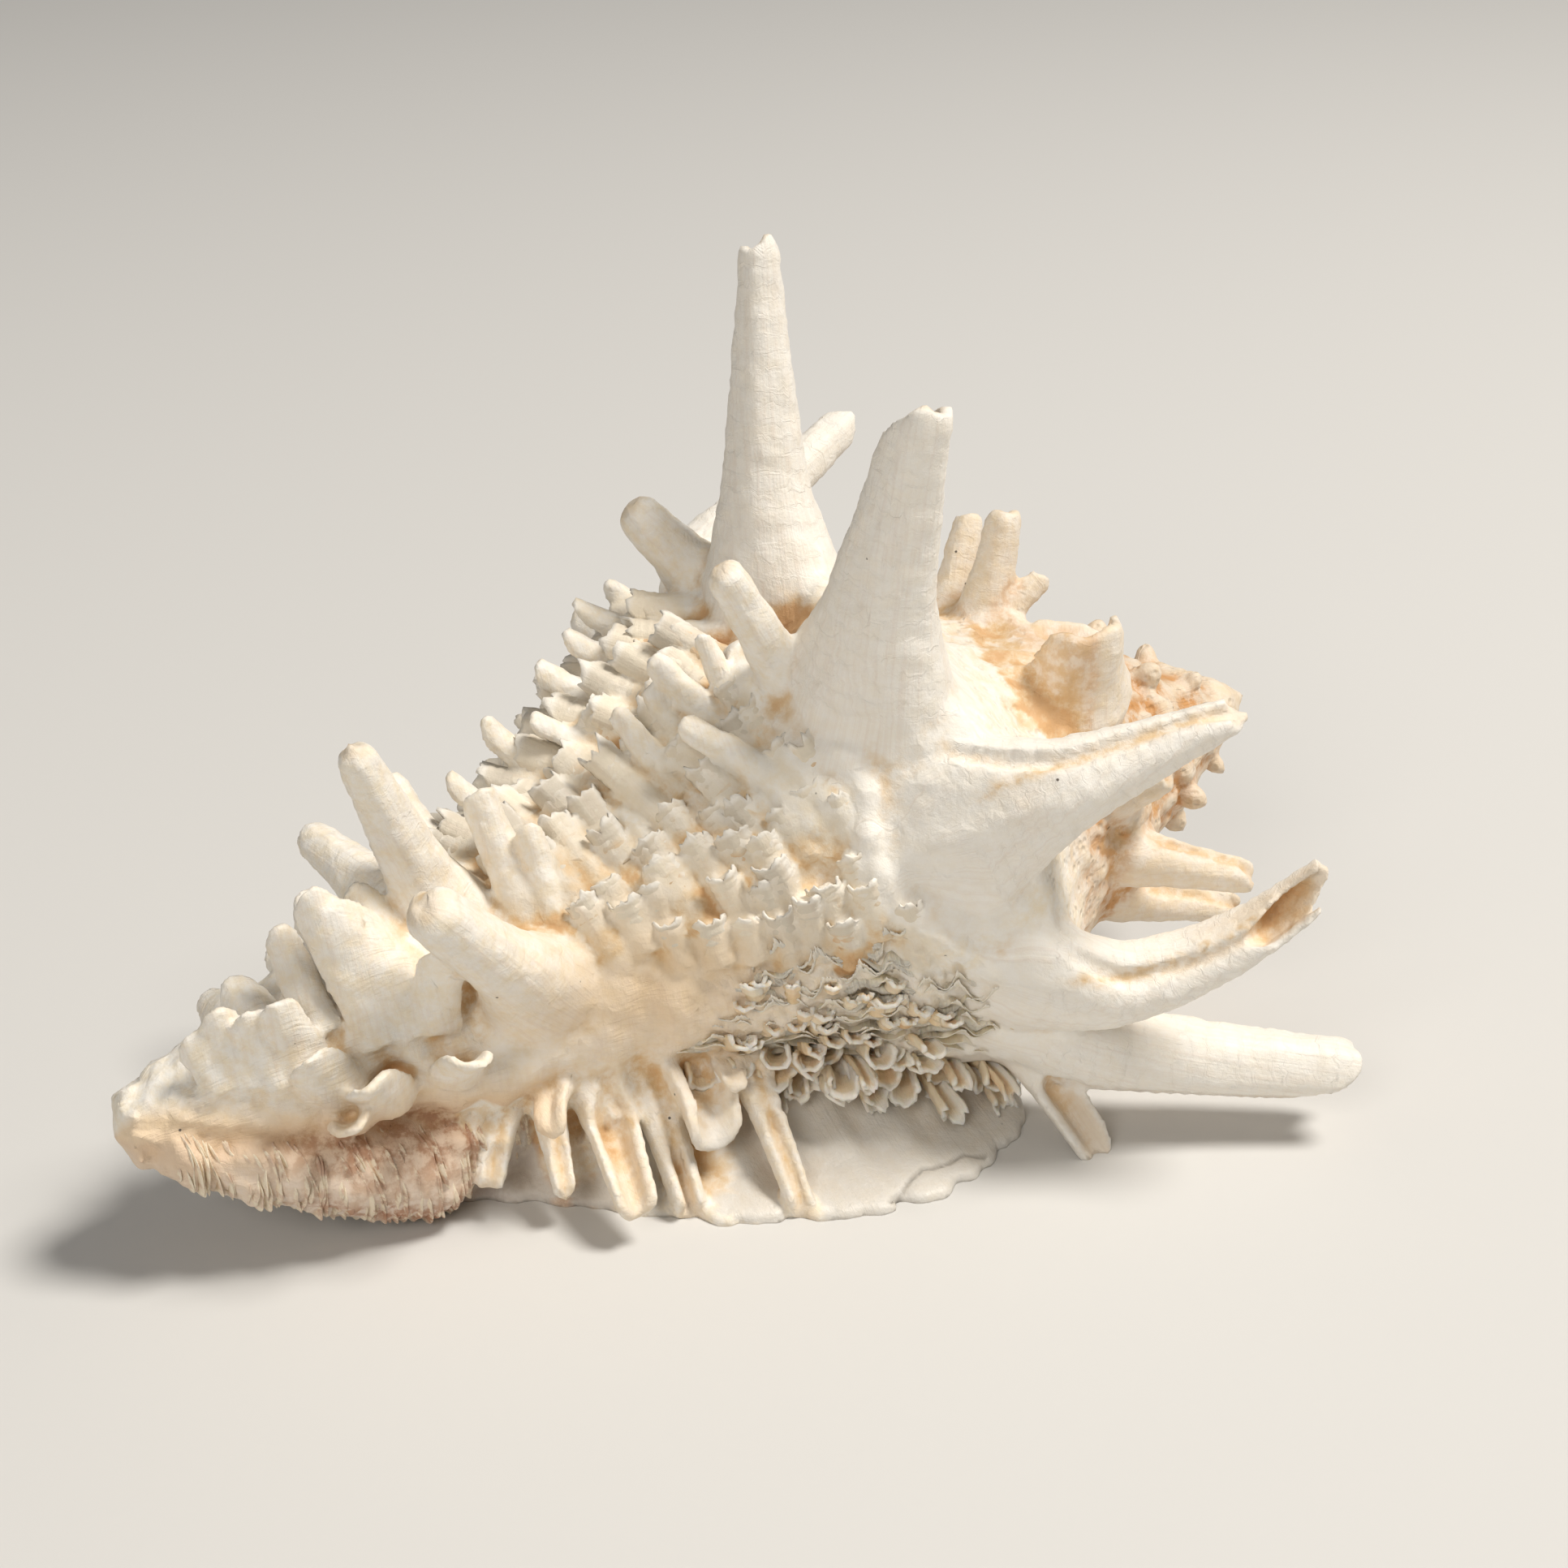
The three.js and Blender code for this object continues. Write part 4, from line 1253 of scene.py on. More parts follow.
def ruffle(turn):
    low, high = (edge + rng.normal(0, 0.02) for edge in ruffle_reach(turn))
    slant = np.linspace(slant_at(low), slant_at(high), RUFFLE_COLUMNS)
    phase = rng.uniform(0, 2 * np.pi, 7)
    cord = 0.5 + 0.5 * np.cos(2 * np.pi * slant / CORD_STEP + 0.8 * np.sin(slant * 0.4 + phase[0]))
    patchy = smoothstep(np.sin(slant * 0.55 + phase[1]) + 0.7 * np.sin(slant * 1.3 + phase[2]), -0.9, 0.9)
    torn = 0.5 * np.sin(slant * 9.1 + phase[3]) + 0.35 * np.sin(slant * 17.3 + phase[4])
    torn = torn + 0.3 * np.sin(slant * 31 + phase[5])
    height = lerp(-0.45, 0.14 + 0.42 * cord ** 1.5, patchy) * (1 + 0.35 * torn)
    ends = np.minimum(np.linspace(0, 1, RUFFLE_COLUMNS), np.linspace(1, 0, RUFFLE_COLUMNS))
    height = lerp(-0.4, height, smoothstep(ends, 0, 0.06))
    winding = turn + 2 * cord + 2.4 * np.sin(slant * 0.5 + phase[6]) + 0.7 * np.sin(slant * 1.9 + phase[0])
    here, forward, _, normal = body_frame(winding, along_at(slant))
    rows = []
    for share in (-1, 0.5, 1):
        lift = RUFFLE_LIFT + (share * height if share > 0 else RUFFLE_SINK + 0 * height)
        lean = RUFFLE_LEAN * np.maximum(share, 0) ** 1.5 * height
        rows.append(here + normal * lift[:, None] + forward * lean[:, None])
    front = [row + forward * RUFFLE_THICK * thick for row, thick in zip(rows, (1.6, 1.1, 0.7))]
    return loft(np.stack(rows + front[::-1], axis=1))


ruffle_turns = np.linspace(RUFFLE_FIRST, RUFFLE_LAST, RUFFLE_COUNT) + rng.normal(0, 0.35, RUFFLE_COUNT)
ruffles = thin_piece("growth_ruffles", *joined([ruffle(turn) for turn in ruffle_turns]))
ruffle_depth = np.tile([1.0, 0.5, 0.0, 0.0, 0.5, 1.0], len(ruffles.data.vertices) // 6)

# %% [markdown]
# ## Spouts along the lower edge
# Where the body turns under, the sheets are drawn out into small open spouts that stand in ragged rows.
# They use the same bent grids as the scales, with thin walls and a wide arch, and no two are alike.

# %% Spouts
SPOUT_TURNS = np.arange(4.0, -59.0, -4.0)
CUP_SHARE, SPOUT_SHARE = 0.5, 0.62


def spout_places():
    rows = []
    for number, turn in enumerate(SPOUT_TURNS):
        low, high = ruffle_reach(turn)
        kept = lerp(CUP_SHARE, SPOUT_SHARE, float(smoothstep(-turn, 20, 36)))
        for slant in np.arange(slant_at(low), slant_at(high), CORD_STEP):
            place = along_at(slant + 0.5 * CORD_STEP * (number % 2) + rng.normal(0, 0.5))
            if rng.uniform() < kept:
                rows.append((turn + rng.normal(0, 1.5), place))
    return np.array(rows, float).T


turn, along = spout_places()
keep = clear_of_spines(body_point(turn, along))
turn, along = turn[keep], along[keep]
under = smoothstep(-turn, 14, 46)
spout_shape = dict(
    long=(1.7 + 2.7 * under) * (1 + 0.45 * spread(turn)),
    wide=(1.75 + 0.65 * under) * (1 + 0.3 * spread(turn)),
    rise=np.radians(18 + 18 * under + 12 * spread(turn)),
    curl=np.radians(34 + 20 * under + 18 * spread(turn)),
    arc=np.radians(86 + 20 * under + 20 * spread(turn)),
    tip=0.3 + 0.25 * spread(turn), rag=0.06 + 0.02 * spread(turn),
    yaw=np.radians(10 + 22 * spread(turn)), flare=0.2 + 0.35 * spread(turn), wall=0.55, thin=0.55)
here, forward, sideways, normal = body_frame(turn, along)
root = here + normal * (0.6 + 0.2 * spread(turn))[:, None] - forward * (0.25 * spout_shape["long"])[:, None]
spout_field = scale_field((root, forward, sideways, normal), spout_shape)
spout_piece = thin_piece("edge_spouts", spout_field[0], scale_faces(len(turn)).tolist())

# %% [markdown]
# ## Frills of the canal ridge
# The old lips left thin torn sheets across the canal ridge, close together like the pages of a wet book.
# Each is a narrow strip that follows the ridge round, with a saw-toothed outer edge. A loft of four-sided
# rings gives it a front, a back and a thin edge.

# %% Torn frills
FRILL_COUNT = 76
FRILL_THICK = 0.006
FRILL_LEAN = 0.014
FRILL_SINK = -0.6
FRILL_START, FRILL_END = -1.6, 2.0


def torn_frill(w):
    angle = np.linspace(FRILL_START, FRILL_END, 64)
    phase = rng.uniform(0, 6.28, 3)
    wander = 0.012 * np.sin(2.2 * angle + phase[0])
    teeth = (0.5 + 0.5 * np.sin(6 * angle + phase[1])) * (0.65 + 0.35 * np.sin(15 * angle + phase[2]))
    ends = smoothstep(angle, FRILL_START, -1.0) * fade(angle, 1.2, FRILL_END)
    fringe = bell((angle - 0.05) / 0.4)
    low_sheet = 0.12 + 0.1 * np.sin(5 * angle + phase[0])
    proud = (low_sheet + fringe * rng.uniform(0.25, 0.8) * (0.1 + 0.4 * teeth)) * ends - 0.25 * (1 - ends)
    root, edge = w + wander, w + wander + FRILL_LEAN
    buried = np.full_like(angle, FRILL_SINK)
    ground = ridge_relief(np.clip(root, 0, 1), angle)
    corners = [(root, buried), (edge, proud), (edge + 0.4 * FRILL_THICK, proud), (root + FRILL_THICK, buried)]
    ring = [ridge_point(np.clip(place, 0, 1), angle, ground + height) for place, height in corners]
    return loft(np.stack(ring, axis=1))


frill_places = np.linspace(0.04, 0.95, FRILL_COUNT) + rng.uniform(-0.006, 0.006, FRILL_COUNT)
frills = thin_piece("canal_frills", *joined([torn_frill(w) for w in frill_places]))
frill_depth = np.tile([1.0, 0.0, 0.0, 1.0], len(frills.data.vertices) // 4)

# %% [markdown]
# ## Where the shell is stained, and where shade is painted in its hollows
# Silt and rust stay in the hollows, and the tan there is partly painted shade of the hollows. The porcelain
# of the callus is painted grey for the shade that it lies in. Each such region is written on the mesh as a
# named attribute that the materials read. The hollows come from the shape itself: a point that lies below the
# mean of its neighbourhood is in one.

# %% Regions of the skin
def region(thing, name, values):
    values = np.asarray(values, np.float32)
    kind = "FLOAT_VECTOR" if values.shape[-1] == 3 and values.ndim > 1 else "FLOAT"
    layer = thing.data.attributes.new(name, kind, "POINT")
    layer.data.foreach_set("vector" if kind == "FLOAT_VECTOR" else "value", values.ravel())


def hollowness(points, normals, edges, steps):
    """Depth of each point below its neighbourhood, in millimetres."""
    level = points
    for _ in range(steps):
        level = neighbour_mean(level, edges)
    return row_dots(level - points, normals)


points, normals, edges = mesh_points(skin), mesh_normals(skin), mesh_edges(skin)
distance, turn_here, along_here = shell_places(points)
fine_hollow = hollowness(points, normals, edges, 6)
broad_hollow = hollowness(points, normals, edges, 50)
# Tan of the hollows, pockets and creases: partly silt stain, partly painted shade.
hollow = smoothstep(fine_hollow, 0.015, 0.1) * 0.6 + smoothstep(broad_hollow, 0.15, 1.0) * 0.6
hollow = hollow + 0.9 * smoothstep(pocket_depth(points), 0.4, 1.3)
for _ in range(3):
    hollow = neighbour_mean(hollow, edges)
print("points in hollows", int((hollow > 0.5).sum()), "of", len(points))

# %% [markdown]
# ## Grooves of the spines
# Silt collects along the seam of each spine and in its mouth. Every point close to a spine is measured from
# the spine's middle line: how far along it lies, how far off and on which side. The same numbers give the
# grain, so the growth lines later follow the spine.

# %% Grooves of the spines
LINE_PLACES = 22
SEAM_HALF = 0.55
groove, seam = np.zeros((2, len(points)))
on_spine, on_long_spine = np.zeros((2, len(points)))
grain = np.stack([turn_here * 0.35, distance, np.zeros(len(points))], axis=-1)
for number, spine in enumerate(all_spines):
    _, across, facing, _ = spine_axes(spine)
    s = np.linspace(0, 1.05, LINE_PLACES)
    line = spine_line(spine, s)
    from_middle = np.linalg.norm(points - line[LINE_PLACES // 2], axis=1)
    close = np.flatnonzero(from_middle < spine["long"] * 0.75 + spine["root"])
    gaps = np.linalg.norm(points[close, None] - line[None], axis=2)
    best = gaps.argmin(axis=1)
    near_line = points[close] - line[best]
    half = spine_half(spine, s[best])
    share = gaps[np.arange(len(close)), best] / half
    member = fade(share, 1.15, 1.5)
    angle = np.arctan2(near_line @ across, -(near_line @ facing))
    inside = fade(share, 0.62, 0.85) * smoothstep(s[best], 0.12, 0.3)
    stronger = member > on_spine[close]
    taken = close[stronger]
    on_spine[taken] = member[stronger]
    on_long_spine[taken] = member[stronger] * (number < len(SHOULDER_SPINES))
    groove[taken] = inside[stronger]
    off_seam = (np.pi - np.abs(angle)) * half
    seam[taken] = (bell(off_seam / SEAM_HALF) * smoothstep(s[best], 0.03, 0.15))[stronger]
    own_grain = np.stack([s[best] * spine["long"], angle * half, 0 * half + 40 * number], axis=-1)
    grain[taken] = own_grain[stronger]
    # Tan and orange on one flank of a spine: partly stain, partly painted shade of that flank.
    flank = smoothstep(-np.sin(angle), -0.1, 0.8) * (1 - 0.5 * s[best])
    hollow[taken] += spine.get("stain_and_shade", 0) * flank[stronger]
print("points in spine grooves", int((groove > 0.5).sum()))

# %% [markdown]
# ## Scales in the skin
# After the fuse no point knows which scale it belongs to. A KD tree of the scales' own points finds the
# nearest one. That scale's number gives a tone of its own and a tan near its root, partly stain and partly
# painted shade under the free edge of the scale before it, and its directions give the grain.
# Where the grain jumps from one scale to the next, the growth lines are faded out.

# %% Scales in the skin
JUMP = 3
scale_tree = KDTree(len(row_points))
for number, place in enumerate(row_points):
    scale_tree.insert(place, number)
scale_tree.balance()
per_scale = 2 * SCALE_LONG * SCALE_AROUND
in_rows = np.flatnonzero((distance > 25) & (distance < 72) & (on_spine < 0.5) & (points[:, 2] > 8))
found = [scale_tree.find(place) for place in points[in_rows]]
gap = np.array([f[2] for f in found])
owner = np.array([f[1] for f in found]) // per_scale
away = points[in_rows] - row_root[owner]
ahead, aside = row_axes(owner)
gone = row_dots(away, ahead) / row_long[owner]
offside = row_dots(away, aside)
scaled, rim, tone = np.zeros((3, len(points)))
scaled[in_rows] = fade(gap, 0.3, 0.7)
rim[in_rows] = scaled[in_rows] * smoothstep(gone, 0.72, 0.95)
tone_of_scale = rng.uniform(0, 1, len(row_turn))
soak_and_shade_of_scale = rng.uniform(0, 1, len(row_turn)) ** 1.6
tone[in_rows] = tone_of_scale[owner]
# Tan near the root of each scale: partly stain, partly painted shade under the free edge of the scale before
# it.
hollow[in_rows] += 0.9 * soak_and_shade_of_scale[owner] * scaled[in_rows] * fade(gone, 0.3, 0.65)
chosen = scaled[in_rows] > 0.3
mine = in_rows[chosen]
grain[mine] = np.stack([gone * row_long[owner], offside, 13.0 * owner], axis=-1)[chosen]
jump = np.linalg.norm(grain[edges[:, 0]] - grain[edges[:, 1]], axis=1) > JUMP
broken = np.zeros(len(points))
broken[edges[jump].ravel()] = 1
broken = np.clip(broken + 2 * neighbour_mean(broken, edges), 0, 1)
print("points on scales:", len(mine))

# %% [markdown]
# ## Colours of the large parts
# The canal ridge has two bands of rust, the callus is smooth porcelain painted grey for the shade that it
# lies in by the floor, the spire is worn and pitted, and a peach tint lies over the lower near side. Each is
# a bell or a ramp in the shell's own places.

# %% Large regions
RUST_BANDS = [(11, 8, 1.0), (34, 9, 0.85)]
PORCELAIN_MARGIN = 1.5
SUTURE_SHARE, SUTURE_HALF = 0.645, 0.035


def canal_rust(points):
    """Share of rust on the canal ridge, which lies in two bands along it."""
    distance, turn, _ = shell_places(points)
    past = past_ridge(distance, turn)
    bands = sum(share * bell((past - at) / wide) for at, wide, share in RUST_BANDS)
    return bands * smoothstep(distance, 6, 15) * fade(distance, 28, 35)


reach = (points - CANAL_TIP) @ NEAR
# The callus low by the floor: smooth porcelain, and painted shade, as the colour below lays it grey where the
# shell shades it.
porcelain_in_shade = fade(points[:, 2], 4, 9) * smoothstep(distance, 20, 26)
porcelain_in_shade = porcelain_in_shade * fade(distance, 74, 78) * (on_spine < 0.2)
porcelain_in_shade = porcelain_in_shade * (reach < callus_edges(distance)[0] + PORCELAIN_MARGIN)
spire_worn = smoothstep(distance, 73, 82) * fade(on_long_spine, 0.2, 0.9)
spire_worn = spire_worn * (1 - 0.5 * smoothstep(on_spine, 0.2, 0.9))
past = past_ridge(distance, turn_here)
by_canal = fade(distance, 28, 36) * (on_spine < 0.5)
rust = (on_spine < 0.5) * canal_rust(points)
amber = bell((past - 44) / 22) + 0.7 * fade(distance, 1, 9)
amber = by_canal * amber * fade(past, 70, 95)
rosy = by_canal * fade(past, 30, 60)
coil_length = LIP_TO_APEX * coil_size(turn_here)
from_shoulder = distance - (SHELL_LENGTH - coil_length)
pitted = smoothstep(from_shoulder, 0.5, 3) * fade(on_spine, 0.1, 0.8)
suture = bell(((SHELL_LENGTH - distance) / coil_length - SUTURE_SHARE) / SUTURE_HALF)
suture = suture * fade(on_spine, 0.1, 0.6)
peach = bell((turn_here - 8) / 34) * bell((along_here - 0.58) / 0.14)
peach = np.clip(peach + amber, 0, 1)
print("points on the porcelain:", int((porcelain_in_shade > 0.5).sum()))

# %% [markdown]
# ## Write the regions on the meshes
# An attribute carries each region to the materials, one value a point. The skin gets them all. The lips and
# spouts get the stain and painted shade, rim, tone and grain that their grids came with, and the thin sheets
# only need how deep a point lies, which lays stain and painted shade at their roots.

# %% Regions as attributes
LIP_SOAK_AND_SHADE = 1.1
RUFFLE_SOAK_AND_SHADE, RUFFLE_RIM = 0.35, 0.45


def scale_regions(piece, field, soak_and_shade, tone):
    """Writes the masks of a field of scales on its piece, with a soak of stain and painted shade and a tone
    for each scale.
    """
    _, stain_and_shade, rim, grain = field
    region(piece, "hollow", (stain_and_shade.reshape(len(stain_and_shade), -1) * soak_and_shade[:, None]).ravel())
    region(piece, "grain", grain.reshape(-1, 3))
    region(piece, "rim", rim.ravel())
    region(piece, "tone", np.repeat(tone, per_scale))


skin_regions = dict(
    hollow=hollow, groove=groove, seam=seam, grain=grain, broken=broken, porcelain_in_shade=porcelain_in_shade,
    spire_worn=spire_worn, rust=rust, rosy=rosy, pitted=pitted, suture=suture, peach=peach, scaled=scaled,
    rim=rim, tone=tone, long_spine=on_long_spine, crack=crack_share(points))
for name, values in skin_regions.items():
    region(shell, name, values)
# Tan at the roots of the frills and ruffles: partly stain, partly painted shade between the sheets.
region(frills, "hollow", frill_depth)
region(frills, "rust", canal_rust(mesh_points(frills.data)))
region(ruffles, "hollow", RUFFLE_SOAK_AND_SHADE * ruffle_depth)
region(ruffles, "rim", RUFFLE_RIM * (1 - ruffle_depth))
scale_regions(lip_piece, lip_field, soak_and_shade_of_scale[lipped] * LIP_SOAK_AND_SHADE, tone_of_scale[lipped])
spout_soak_and_shade = rng.uniform(0.25, 1.0, len(under))
spout_tone = rng.uniform(0, 1, len(under))
scale_regions(spout_piece, spout_field, spout_soak_and_shade, spout_tone)
print("attributes on the skin:", sorted(skin_regions))

# %% [markdown]
# ## Effects that the finishes share
# Fine growth lines, stains with painted shade, and specks are on every part of the shell, so each is a node
# group with named inputs and outputs. The groups put out heights and masks only. The materials decide what
# they colour.

# %% Node helpers
def node(tree, kind, links=None, **settings):
    """A new node with settings, whose inputs are linked or set by name or number."""
    made = tree.nodes.new(kind)
    for key, value in settings.items():
        setattr(made, key, value)
    for key, value in (links or {}).items():
        if isinstance(value, bpy.types.NodeSocket):
            tree.links.new(value, made.inputs[key])
        else:
            made.inputs[key].default_value = value
    return made


def mix_colour(tree, factor, a, b):
    return node(tree, "ShaderNodeMix", {0: factor, 6: a, 7: b}, data_type="RGBA").outputs[2]


def math(tree, operation, a, b=0.0, clamp=False):
    return node(tree, "ShaderNodeMath", {0: a, 1: b}, operation=operation, use_clamp=clamp).outputs[0]


def remap(tree, value, low, high, to_low=0.0, to_high=1.0):
    links = {"Value": value, "From Min": low, "From Max": high, "To Min": to_low, "To Max": to_high}
    return node(tree, "ShaderNodeMapRange", links, interpolation_type="SMOOTHSTEP").outputs["Result"]


def stretched_noise(tree, vector, stretch, detail=3.0, rough=0.55, distortion=0.0):
    place = node(tree, "ShaderNodeVectorMath", {0: vector, 1: stretch}, operation="MULTIPLY").outputs[0]
    links = {"Vector": place, "Scale": 1.0, "Detail": detail, "Roughness": rough, "Distortion": distortion}
    return node(tree, "ShaderNodeTexNoise", links).outputs["Fac"]


def effect(name, inputs, outputs):
    tree = bpy.data.node_groups.new(name, "ShaderNodeTree")
    for label, kind in inputs:
        tree.interface.new_socket(label, in_out="INPUT", socket_type=kind)
    for label in outputs:
        tree.interface.new_socket(label, in_out="OUTPUT", socket_type="NodeSocketFloat")
    return tree, tree.nodes.new("NodeGroupInput"), tree.nodes.new("NodeGroupOutput")


print("node helpers ready")

# %% [markdown]
# ## Growth lines, stains with painted shade, and specks
# Growth lines are noise that is stretched along and across the grain. A stain is a hollow that soaked up silt
# unevenly, and its tan is partly painted shade of the hollow. Pits and specks are the cells of a Voronoi
# texture, most of them left blank.

# %% Growth lines, stains with painted shade, and specks
lines, lines_in, lines_out = effect(
    "growth_lines", [("Grain", "NodeSocketVector"), ("Broken", "NodeSocketFloat")], ["Height", "Streaks"])
whole = math(lines, "SUBTRACT", 1.0, lines_in.outputs["Broken"], clamp=True)
wrinkles = stretched_noise(lines, lines_in.outputs["Grain"], (1.5, 0.22, 1.0), 4.0, 0.6, 0.6)
striae = stretched_noise(lines, lines_in.outputs["Grain"], (0.16, 2.4, 1.0), 3.0, 0.6, 0.4)
total = math(lines, "ADD", math(lines, "MULTIPLY", wrinkles, 0.75), math(lines, "MULTIPLY", striae, 0.4))
lines.links.new(math(lines, "MULTIPLY", total, whole), lines_out.inputs["Height"])
lines.links.new(math(lines, "MULTIPLY", remap(lines, striae, 0.42, 0.72), whole), lines_out.inputs["Streaks"])

# Tan and orange by the hollow mask: partly silt stain, partly painted shade.
stain_and_shade, stain_and_shade_in, stain_and_shade_out = effect(
    "sea_stain_and_painted_shade", [("Place", "NodeSocketVector"), ("Hollow", "NodeSocketFloat")], ["Tan", "Orange", "Mottle"])
patches = stretched_noise(stain_and_shade, stain_and_shade_in.outputs["Place"], (0.16, 0.16, 0.16), 3.0, 0.6)
flecks = stretched_noise(stain_and_shade, stain_and_shade_in.outputs["Place"], (0.8, 0.8, 0.8), 4.0, 0.65)
patchiness = remap(stain_and_shade, patches, 0.35, 0.65, 0.35, 1.0)
patchiness = math(stain_and_shade, "ADD", patchiness, remap(stain_and_shade, flecks, 0.3, 0.7, -0.2, 0.25))
soaked_and_shaded = math(stain_and_shade, "MULTIPLY", stain_and_shade_in.outputs["Hollow"], patchiness)
stain_and_shade.links.new(remap(stain_and_shade, soaked_and_shaded, 0.12, 0.85), stain_and_shade_out.inputs["Tan"])
stain_and_shade.links.new(remap(stain_and_shade, soaked_and_shaded, 0.6, 1.15), stain_and_shade_out.inputs["Orange"])
stain_and_shade.links.new(remap(stain_and_shade, flecks, 0.3, 0.75), stain_and_shade_out.inputs["Mottle"])

specks, specks_in, specks_out = effect(
    "pits_and_specks", [("Place", "NodeSocketVector")], ["Pits", "Specks", "Chalk"])
chalky = stretched_noise(specks, specks_in.outputs["Place"], (2.2, 2.2, 2.2), 4.0, 0.7)
specks.links.new(math(specks, "MULTIPLY", chalky, 0.5), specks_out.inputs["Chalk"])
cells = node(specks, "ShaderNodeTexVoronoi", {"Vector": specks_in.outputs["Place"], "Scale": 1.1})
dots = node(specks, "ShaderNodeTexVoronoi", {"Vector": specks_in.outputs["Place"], "Scale": 0.33})
rare = node(specks, "ShaderNodeSeparateColor", {"Color": dots.outputs["Color"]}).outputs[0]
specks.links.new(remap(specks, cells.outputs["Distance"], 0.0, 0.45), specks_out.inputs["Pits"])
dot = remap(specks, dots.outputs["Distance"], 0.025, 0.05, 1.0, 0.0)
dot = math(specks, "MULTIPLY", dot, remap(specks, rare, 0.6, 0.62))
specks.links.new(dot, specks_out.inputs["Specks"])
print("effects:", [g.name for g in bpy.data.node_groups])

# %% [markdown]
# ## How a finish is built
# Every finish has the same shader with the same three effects, and a colour that is laid on in layers like
# washes of paint. A class keeps the node tree and the last colour together, so that each layer below is one
# line: a mask, its share and a colour.

# %% Finish with layers
WHITE = (0.90, 0.865, 0.80, 1)
CREAM = (0.86, 0.76, 0.59, 1)
PEACH = (0.82, 0.61, 0.38, 1)
TAN = (0.70, 0.49, 0.26, 1)
ORANGE = (0.58, 0.27, 0.08, 1)
RUST = (0.36, 0.15, 0.07, 1)
PINK = (0.64, 0.45, 0.34, 1)
GREY = (0.57, 0.51, 0.41, 1)
SPECK = (0.12, 0.10, 0.08, 1)
SHELL_IOR = 1.5


class Finish:
    """A material with the shared effects and a bumped shader, whose colour is laid on in layers."""

    def __init__(self, name, roughness, bump, colour):
        self.material = bpy.data.materials.new(name)
        self.material.use_nodes = True
        self.tree = self.material.node_tree
        self.colour = colour
        self.set_shader("Roughness", roughness)
        self.set_shader("IOR", SHELL_IOR)
        metres = node(self.tree, "ShaderNodeTexCoord").outputs["Object"]
        place = node(self.tree, "ShaderNodeVectorMath", {0: metres, 3: 1 / MM}, operation="SCALE").outputs[0]
        grain = node(self.tree, "ShaderNodeAttribute", attribute_name="grain").outputs["Vector"]
        self.lines = self.shared(lines, Grain=grain, Broken=self.mask("broken"))
        self.stain_and_shade = self.shared(stain_and_shade, Place=place, Hollow=self.mask("hollow"))
        self.specks = self.shared(specks, Place=place)
        pits = math(self.tree, "MULTIPLY", self.specks["Pits"], self.mask("pitted"))
        height = math(self.tree, "ADD", pits, self.specks["Chalk"])
        height = math(self.tree, "ADD", self.lines["Height"], height)
        relief = {"Height": height, "Distance": bump * MM, "Strength": 1.0}
        self.set_shader("Normal", node(self.tree, "ShaderNodeBump", relief).outputs["Normal"])

    def set_shader(self, label, value):
        socket = self.tree.nodes["Principled BSDF"].inputs[label]
        if isinstance(value, bpy.types.NodeSocket):
            self.tree.links.new(value, socket)
        else:
            socket.default_value = value

    def shared(self, group, **links):
        """Outputs of a shared effect in this material."""
        return node(self.tree, "ShaderNodeGroup", links, node_tree=group).outputs

    def mask(self, name):
        return node(self.tree, "ShaderNodeAttribute", attribute_name=name).outputs["Fac"]

    def mottled(self, *ranges):
        """Share that follows the mottle of the stain."""
        return remap(self.tree, self.stain_and_shade["Mottle"], *ranges)

    def lay(self, mask, share, colour):
        """Lays a colour over the last one, by a share of a mask or of the attribute with that name."""
        factor = self.mask(mask) if isinstance(mask, str) else mask
        factor = math(self.tree, "MULTIPLY", factor, share)
        self.colour = mix_colour(self.tree, factor, self.colour, colour)

    # Lays streaks and specks, and tan and orange in the hollows, which is partly painted shade.
    def lay_stains_and_shade(self):
        self.lay(self.lines["Streaks"], 0.16, PINK)
        self.lay(self.stain_and_shade["Tan"], 0.85, TAN)
        self.lay(self.stain_and_shade["Orange"], 0.5, ORANGE)
        self.lay(self.specks["Specks"], 1.0, SPECK)

    def put_on(self, *pieces):
        self.set_shader("Base Color", self.colour)
        for piece in pieces:
            piece.data.materials.clear()
            piece.data.materials.append(self.material)


print("a finish uses", len(bpy.data.node_groups), "shared effects")

# %% [markdown]
# ## The skin
# The skin is chalky white, cream where it is thicker, and tan in its hollows, which is partly stain and
# partly painted shade. The tiles are greyer with white rims, the spire is worn to an orange brown, the canal
# is rusty, and the callus is smooth porcelain, painted grey for the shade that it lies in.

# %% Chalky skin
CHALK_ROUGH, PORCELAIN_ROUGH = 0.62, 0.4
# Grey of the callus: painted shade under the shell.
PORCELAIN_PAINTED_SHADE = (0.66, 0.63, 0.58, 1)
RUST_MOTTLE = (0.1, 0.75, 0.15, 0.9)

chalk = Finish("chalky_skin", CHALK_ROUGH, 0.15, WHITE)
whiter = remap(chalk.tree, chalk.mask("long_spine"), 0.0, 1.0, 1.0, 0.35)
chalk.lay(chalk.stain_and_shade["Mottle"], whiter, CREAM)
chalk.lay("scaled", 0.6, mix_colour(chalk.tree, chalk.mask("tone"), CREAM, GREY))
chalk.lay("rim", 0.5, WHITE)
chalk.lay("peach", 0.8, PEACH)
chalk.lay("suture", chalk.stain_and_shade["Mottle"], TAN)
chalk.lay("spire_worn", 0.4, TAN)
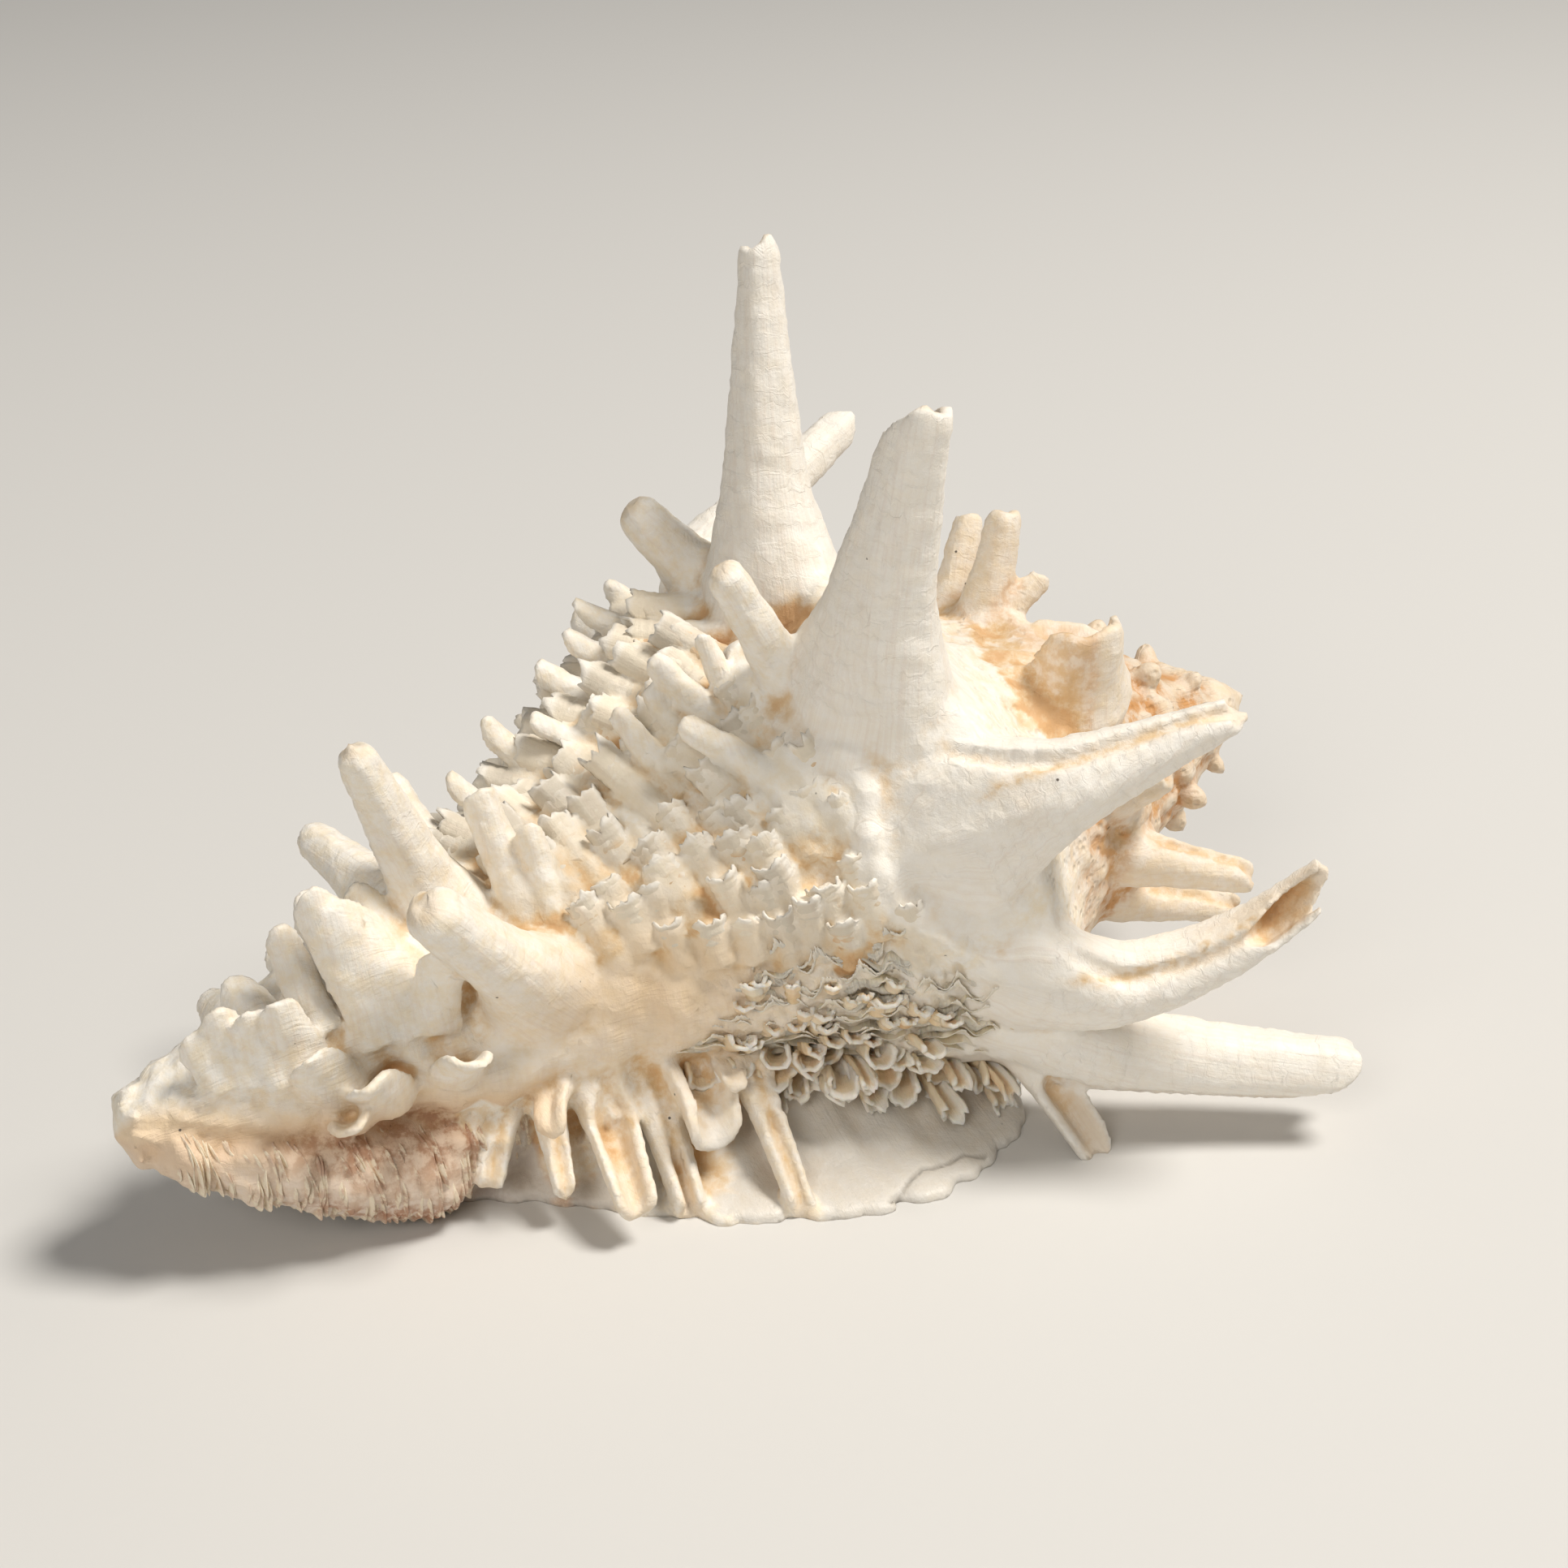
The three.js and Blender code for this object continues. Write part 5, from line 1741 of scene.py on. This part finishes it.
# Orange of the worn spire, strongest in its hollows: partly wear, partly painted shade.
sunk = remap(chalk.tree, chalk.mask("hollow"), 0.0, 0.35, 0.06, 1.0)
worn_and_shaded = math(chalk.tree, "MULTIPLY", chalk.mask("spire_worn"), sunk)
chalk.lay(worn_and_shaded, chalk.mottled(0.1, 0.7, 0.4, 1.0), ORANGE)
chalk.lay("groove", 0.35, TAN)
chalk.lay("seam", chalk.mottled(0.0, 0.8, 0.35, 0.95), TAN)
chalk.lay_stains_and_shade()
chalk.lay("rosy", 0.35, PINK)
chalk.lay("rust", chalk.mottled(*RUST_MOTTLE), RUST)
# Painted shade: the callus is laid grey where it lies in the shade of the shell.
chalk.lay("porcelain_in_shade", 0.75, PORCELAIN_PAINTED_SHADE)
chalk.lay("crack", 0.6, SPECK)
smoother = remap(chalk.tree, chalk.mask("porcelain_in_shade"), 0.0, 1.0, CHALK_ROUGH, PORCELAIN_ROUGH)
chalk.set_shader("Roughness", smoother)
chalk.put_on(shell)
print("nodes of the skin:", len(chalk.tree.nodes))

# %% [markdown]
# ## Lips, spouts and frills
# The torn lips are worn white at their edges. The spouts and ruffles are thin enough to let light through,
# which a little subsurface scattering shows as wax. The frills of the canal are rusty in the same bands as
# the ridge that they stand on.

# %% Thin pieces
worn_lips = Finish("worn_lips", 0.6, 0.14, CREAM)
worn_lips.lay("tone", 1.0, GREY)
worn_lips.lay_stains_and_shade()
worn_lips.lay(remap(worn_lips.tree, worn_lips.mask("rim"), 0.0, 1.0, 0.15, 0.75), 1.0, WHITE)
worn_lips.put_on(lip_piece)

wax = Finish("waxy_spouts", 0.55, 0.14, CREAM)
wax.lay("tone", 1.0, PEACH)
wax.lay_stains_and_shade()
wax.lay(remap(wax.tree, wax.mask("rim"), 0.0, 1.0, 0.05, 0.85), 1.0, WHITE)
wax.set_shader("Subsurface Weight", 0.35)
wax.set_shader("Subsurface Radius", (1.0, 0.7, 0.45))
wax.set_shader("Subsurface Scale", 0.8 * MM)
wax.put_on(spout_piece, ruffles)

rusty = Finish("rusty_frills", 0.7, 0.25, CREAM)
rusty.lay(rusty.mottled(0.2, 0.8, 0.0, 0.7), 1.0, PINK)
rusty.lay_stains_and_shade()
rusty.lay("rust", rusty.mottled(*RUST_MOTTLE), RUST)
rusty.put_on(frills)
print("finishes:", [m.name for m in bpy.data.materials])

# %% [markdown]
# ## Studio
# A plain pale floor, one broad light from above and a weaker one from the front give the soft shade
# of the photograph. The camera looks down on the shell from the near side.

# %% Floor, lights and camera
FLOOR_HALF = 3000.0
FLOOR_COLOUR = (0.66, 0.65, 0.63, 1)
LIGHT_COLOUR = (1.0, 0.96, 0.90)
LIGHT_AIM = (0, 0, 25)
LIGHTS = [("key_light", (540, -20, 980), 360, 12.8), ("front_light", (-350, -850, 650), 500, 3.6)]
WORLD_STRENGTH = 0.14
AIM = np.array([2.5, -12.7, 31.0])
CAMERA_AWAY = 205.0
CAMERA_DOWN = np.radians(27)
CAMERA_VIEW = np.radians(34)


def placed(name, data, place, aim):
    """A new object at a place in millimetres that looks at another."""
    made = bpy.data.objects.new(name, data)
    made.location = Vector(np.multiply(place, MM))
    made.rotation_euler = Vector(np.subtract(aim, place)).to_track_quat("-Z", "Y").to_euler()
    bpy.context.scene.collection.objects.link(made)
    return made


corners = FLOOR_HALF * np.array([[-1, -1, 0], [1, -1, 0], [1, 1, 0], [-1, 1, 0]])
floor = blender_object("floor", corners, [[0, 1, 2, 3]])
paper = bpy.data.materials.new("pale_paper")
paper.use_nodes = True
paper.node_tree.nodes["Principled BSDF"].inputs["Base Color"].default_value = FLOOR_COLOUR
paper.node_tree.nodes["Principled BSDF"].inputs["Roughness"].default_value = 0.8
floor.data.materials.append(paper)

for name, place, size, power in LIGHTS:
    lamp = bpy.data.lights.new(name, "AREA")
    lamp.shape = "DISK"
    lamp.size = size * MM
    lamp.energy = power
    lamp.color = LIGHT_COLOUR
    placed(name, lamp, place, LIGHT_AIM)
world = bpy.data.worlds.new("studio")
world.use_nodes = True
world.node_tree.nodes["Background"].inputs["Color"].default_value = (1, 1, 1, 1)
world.node_tree.nodes["Background"].inputs["Strength"].default_value = WORLD_STRENGTH
bpy.context.scene.world = world
bpy.context.scene.view_settings.view_transform = "Standard"

camera_data = bpy.data.cameras.new("camera")
camera_data.lens = camera_data.sensor_width / 2 / np.tan(CAMERA_VIEW / 2)
eye = AIM + CAMERA_AWAY * np.array([0, -np.cos(CAMERA_DOWN), np.sin(CAMERA_DOWN)])
bpy.context.scene.camera = placed("camera", camera_data, eye, AIM)
print("camera lens", round(camera_data.lens, 1), "mm")

# %% [markdown]
# ## Hand the pieces over
# Each piece is attached to the root body, and the imported shell is hidden.

# %% Attach the pieces
for piece in (shell, lip_piece, ruffles, spout_piece, frills):
    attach(piece, "root")
    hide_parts("shell")
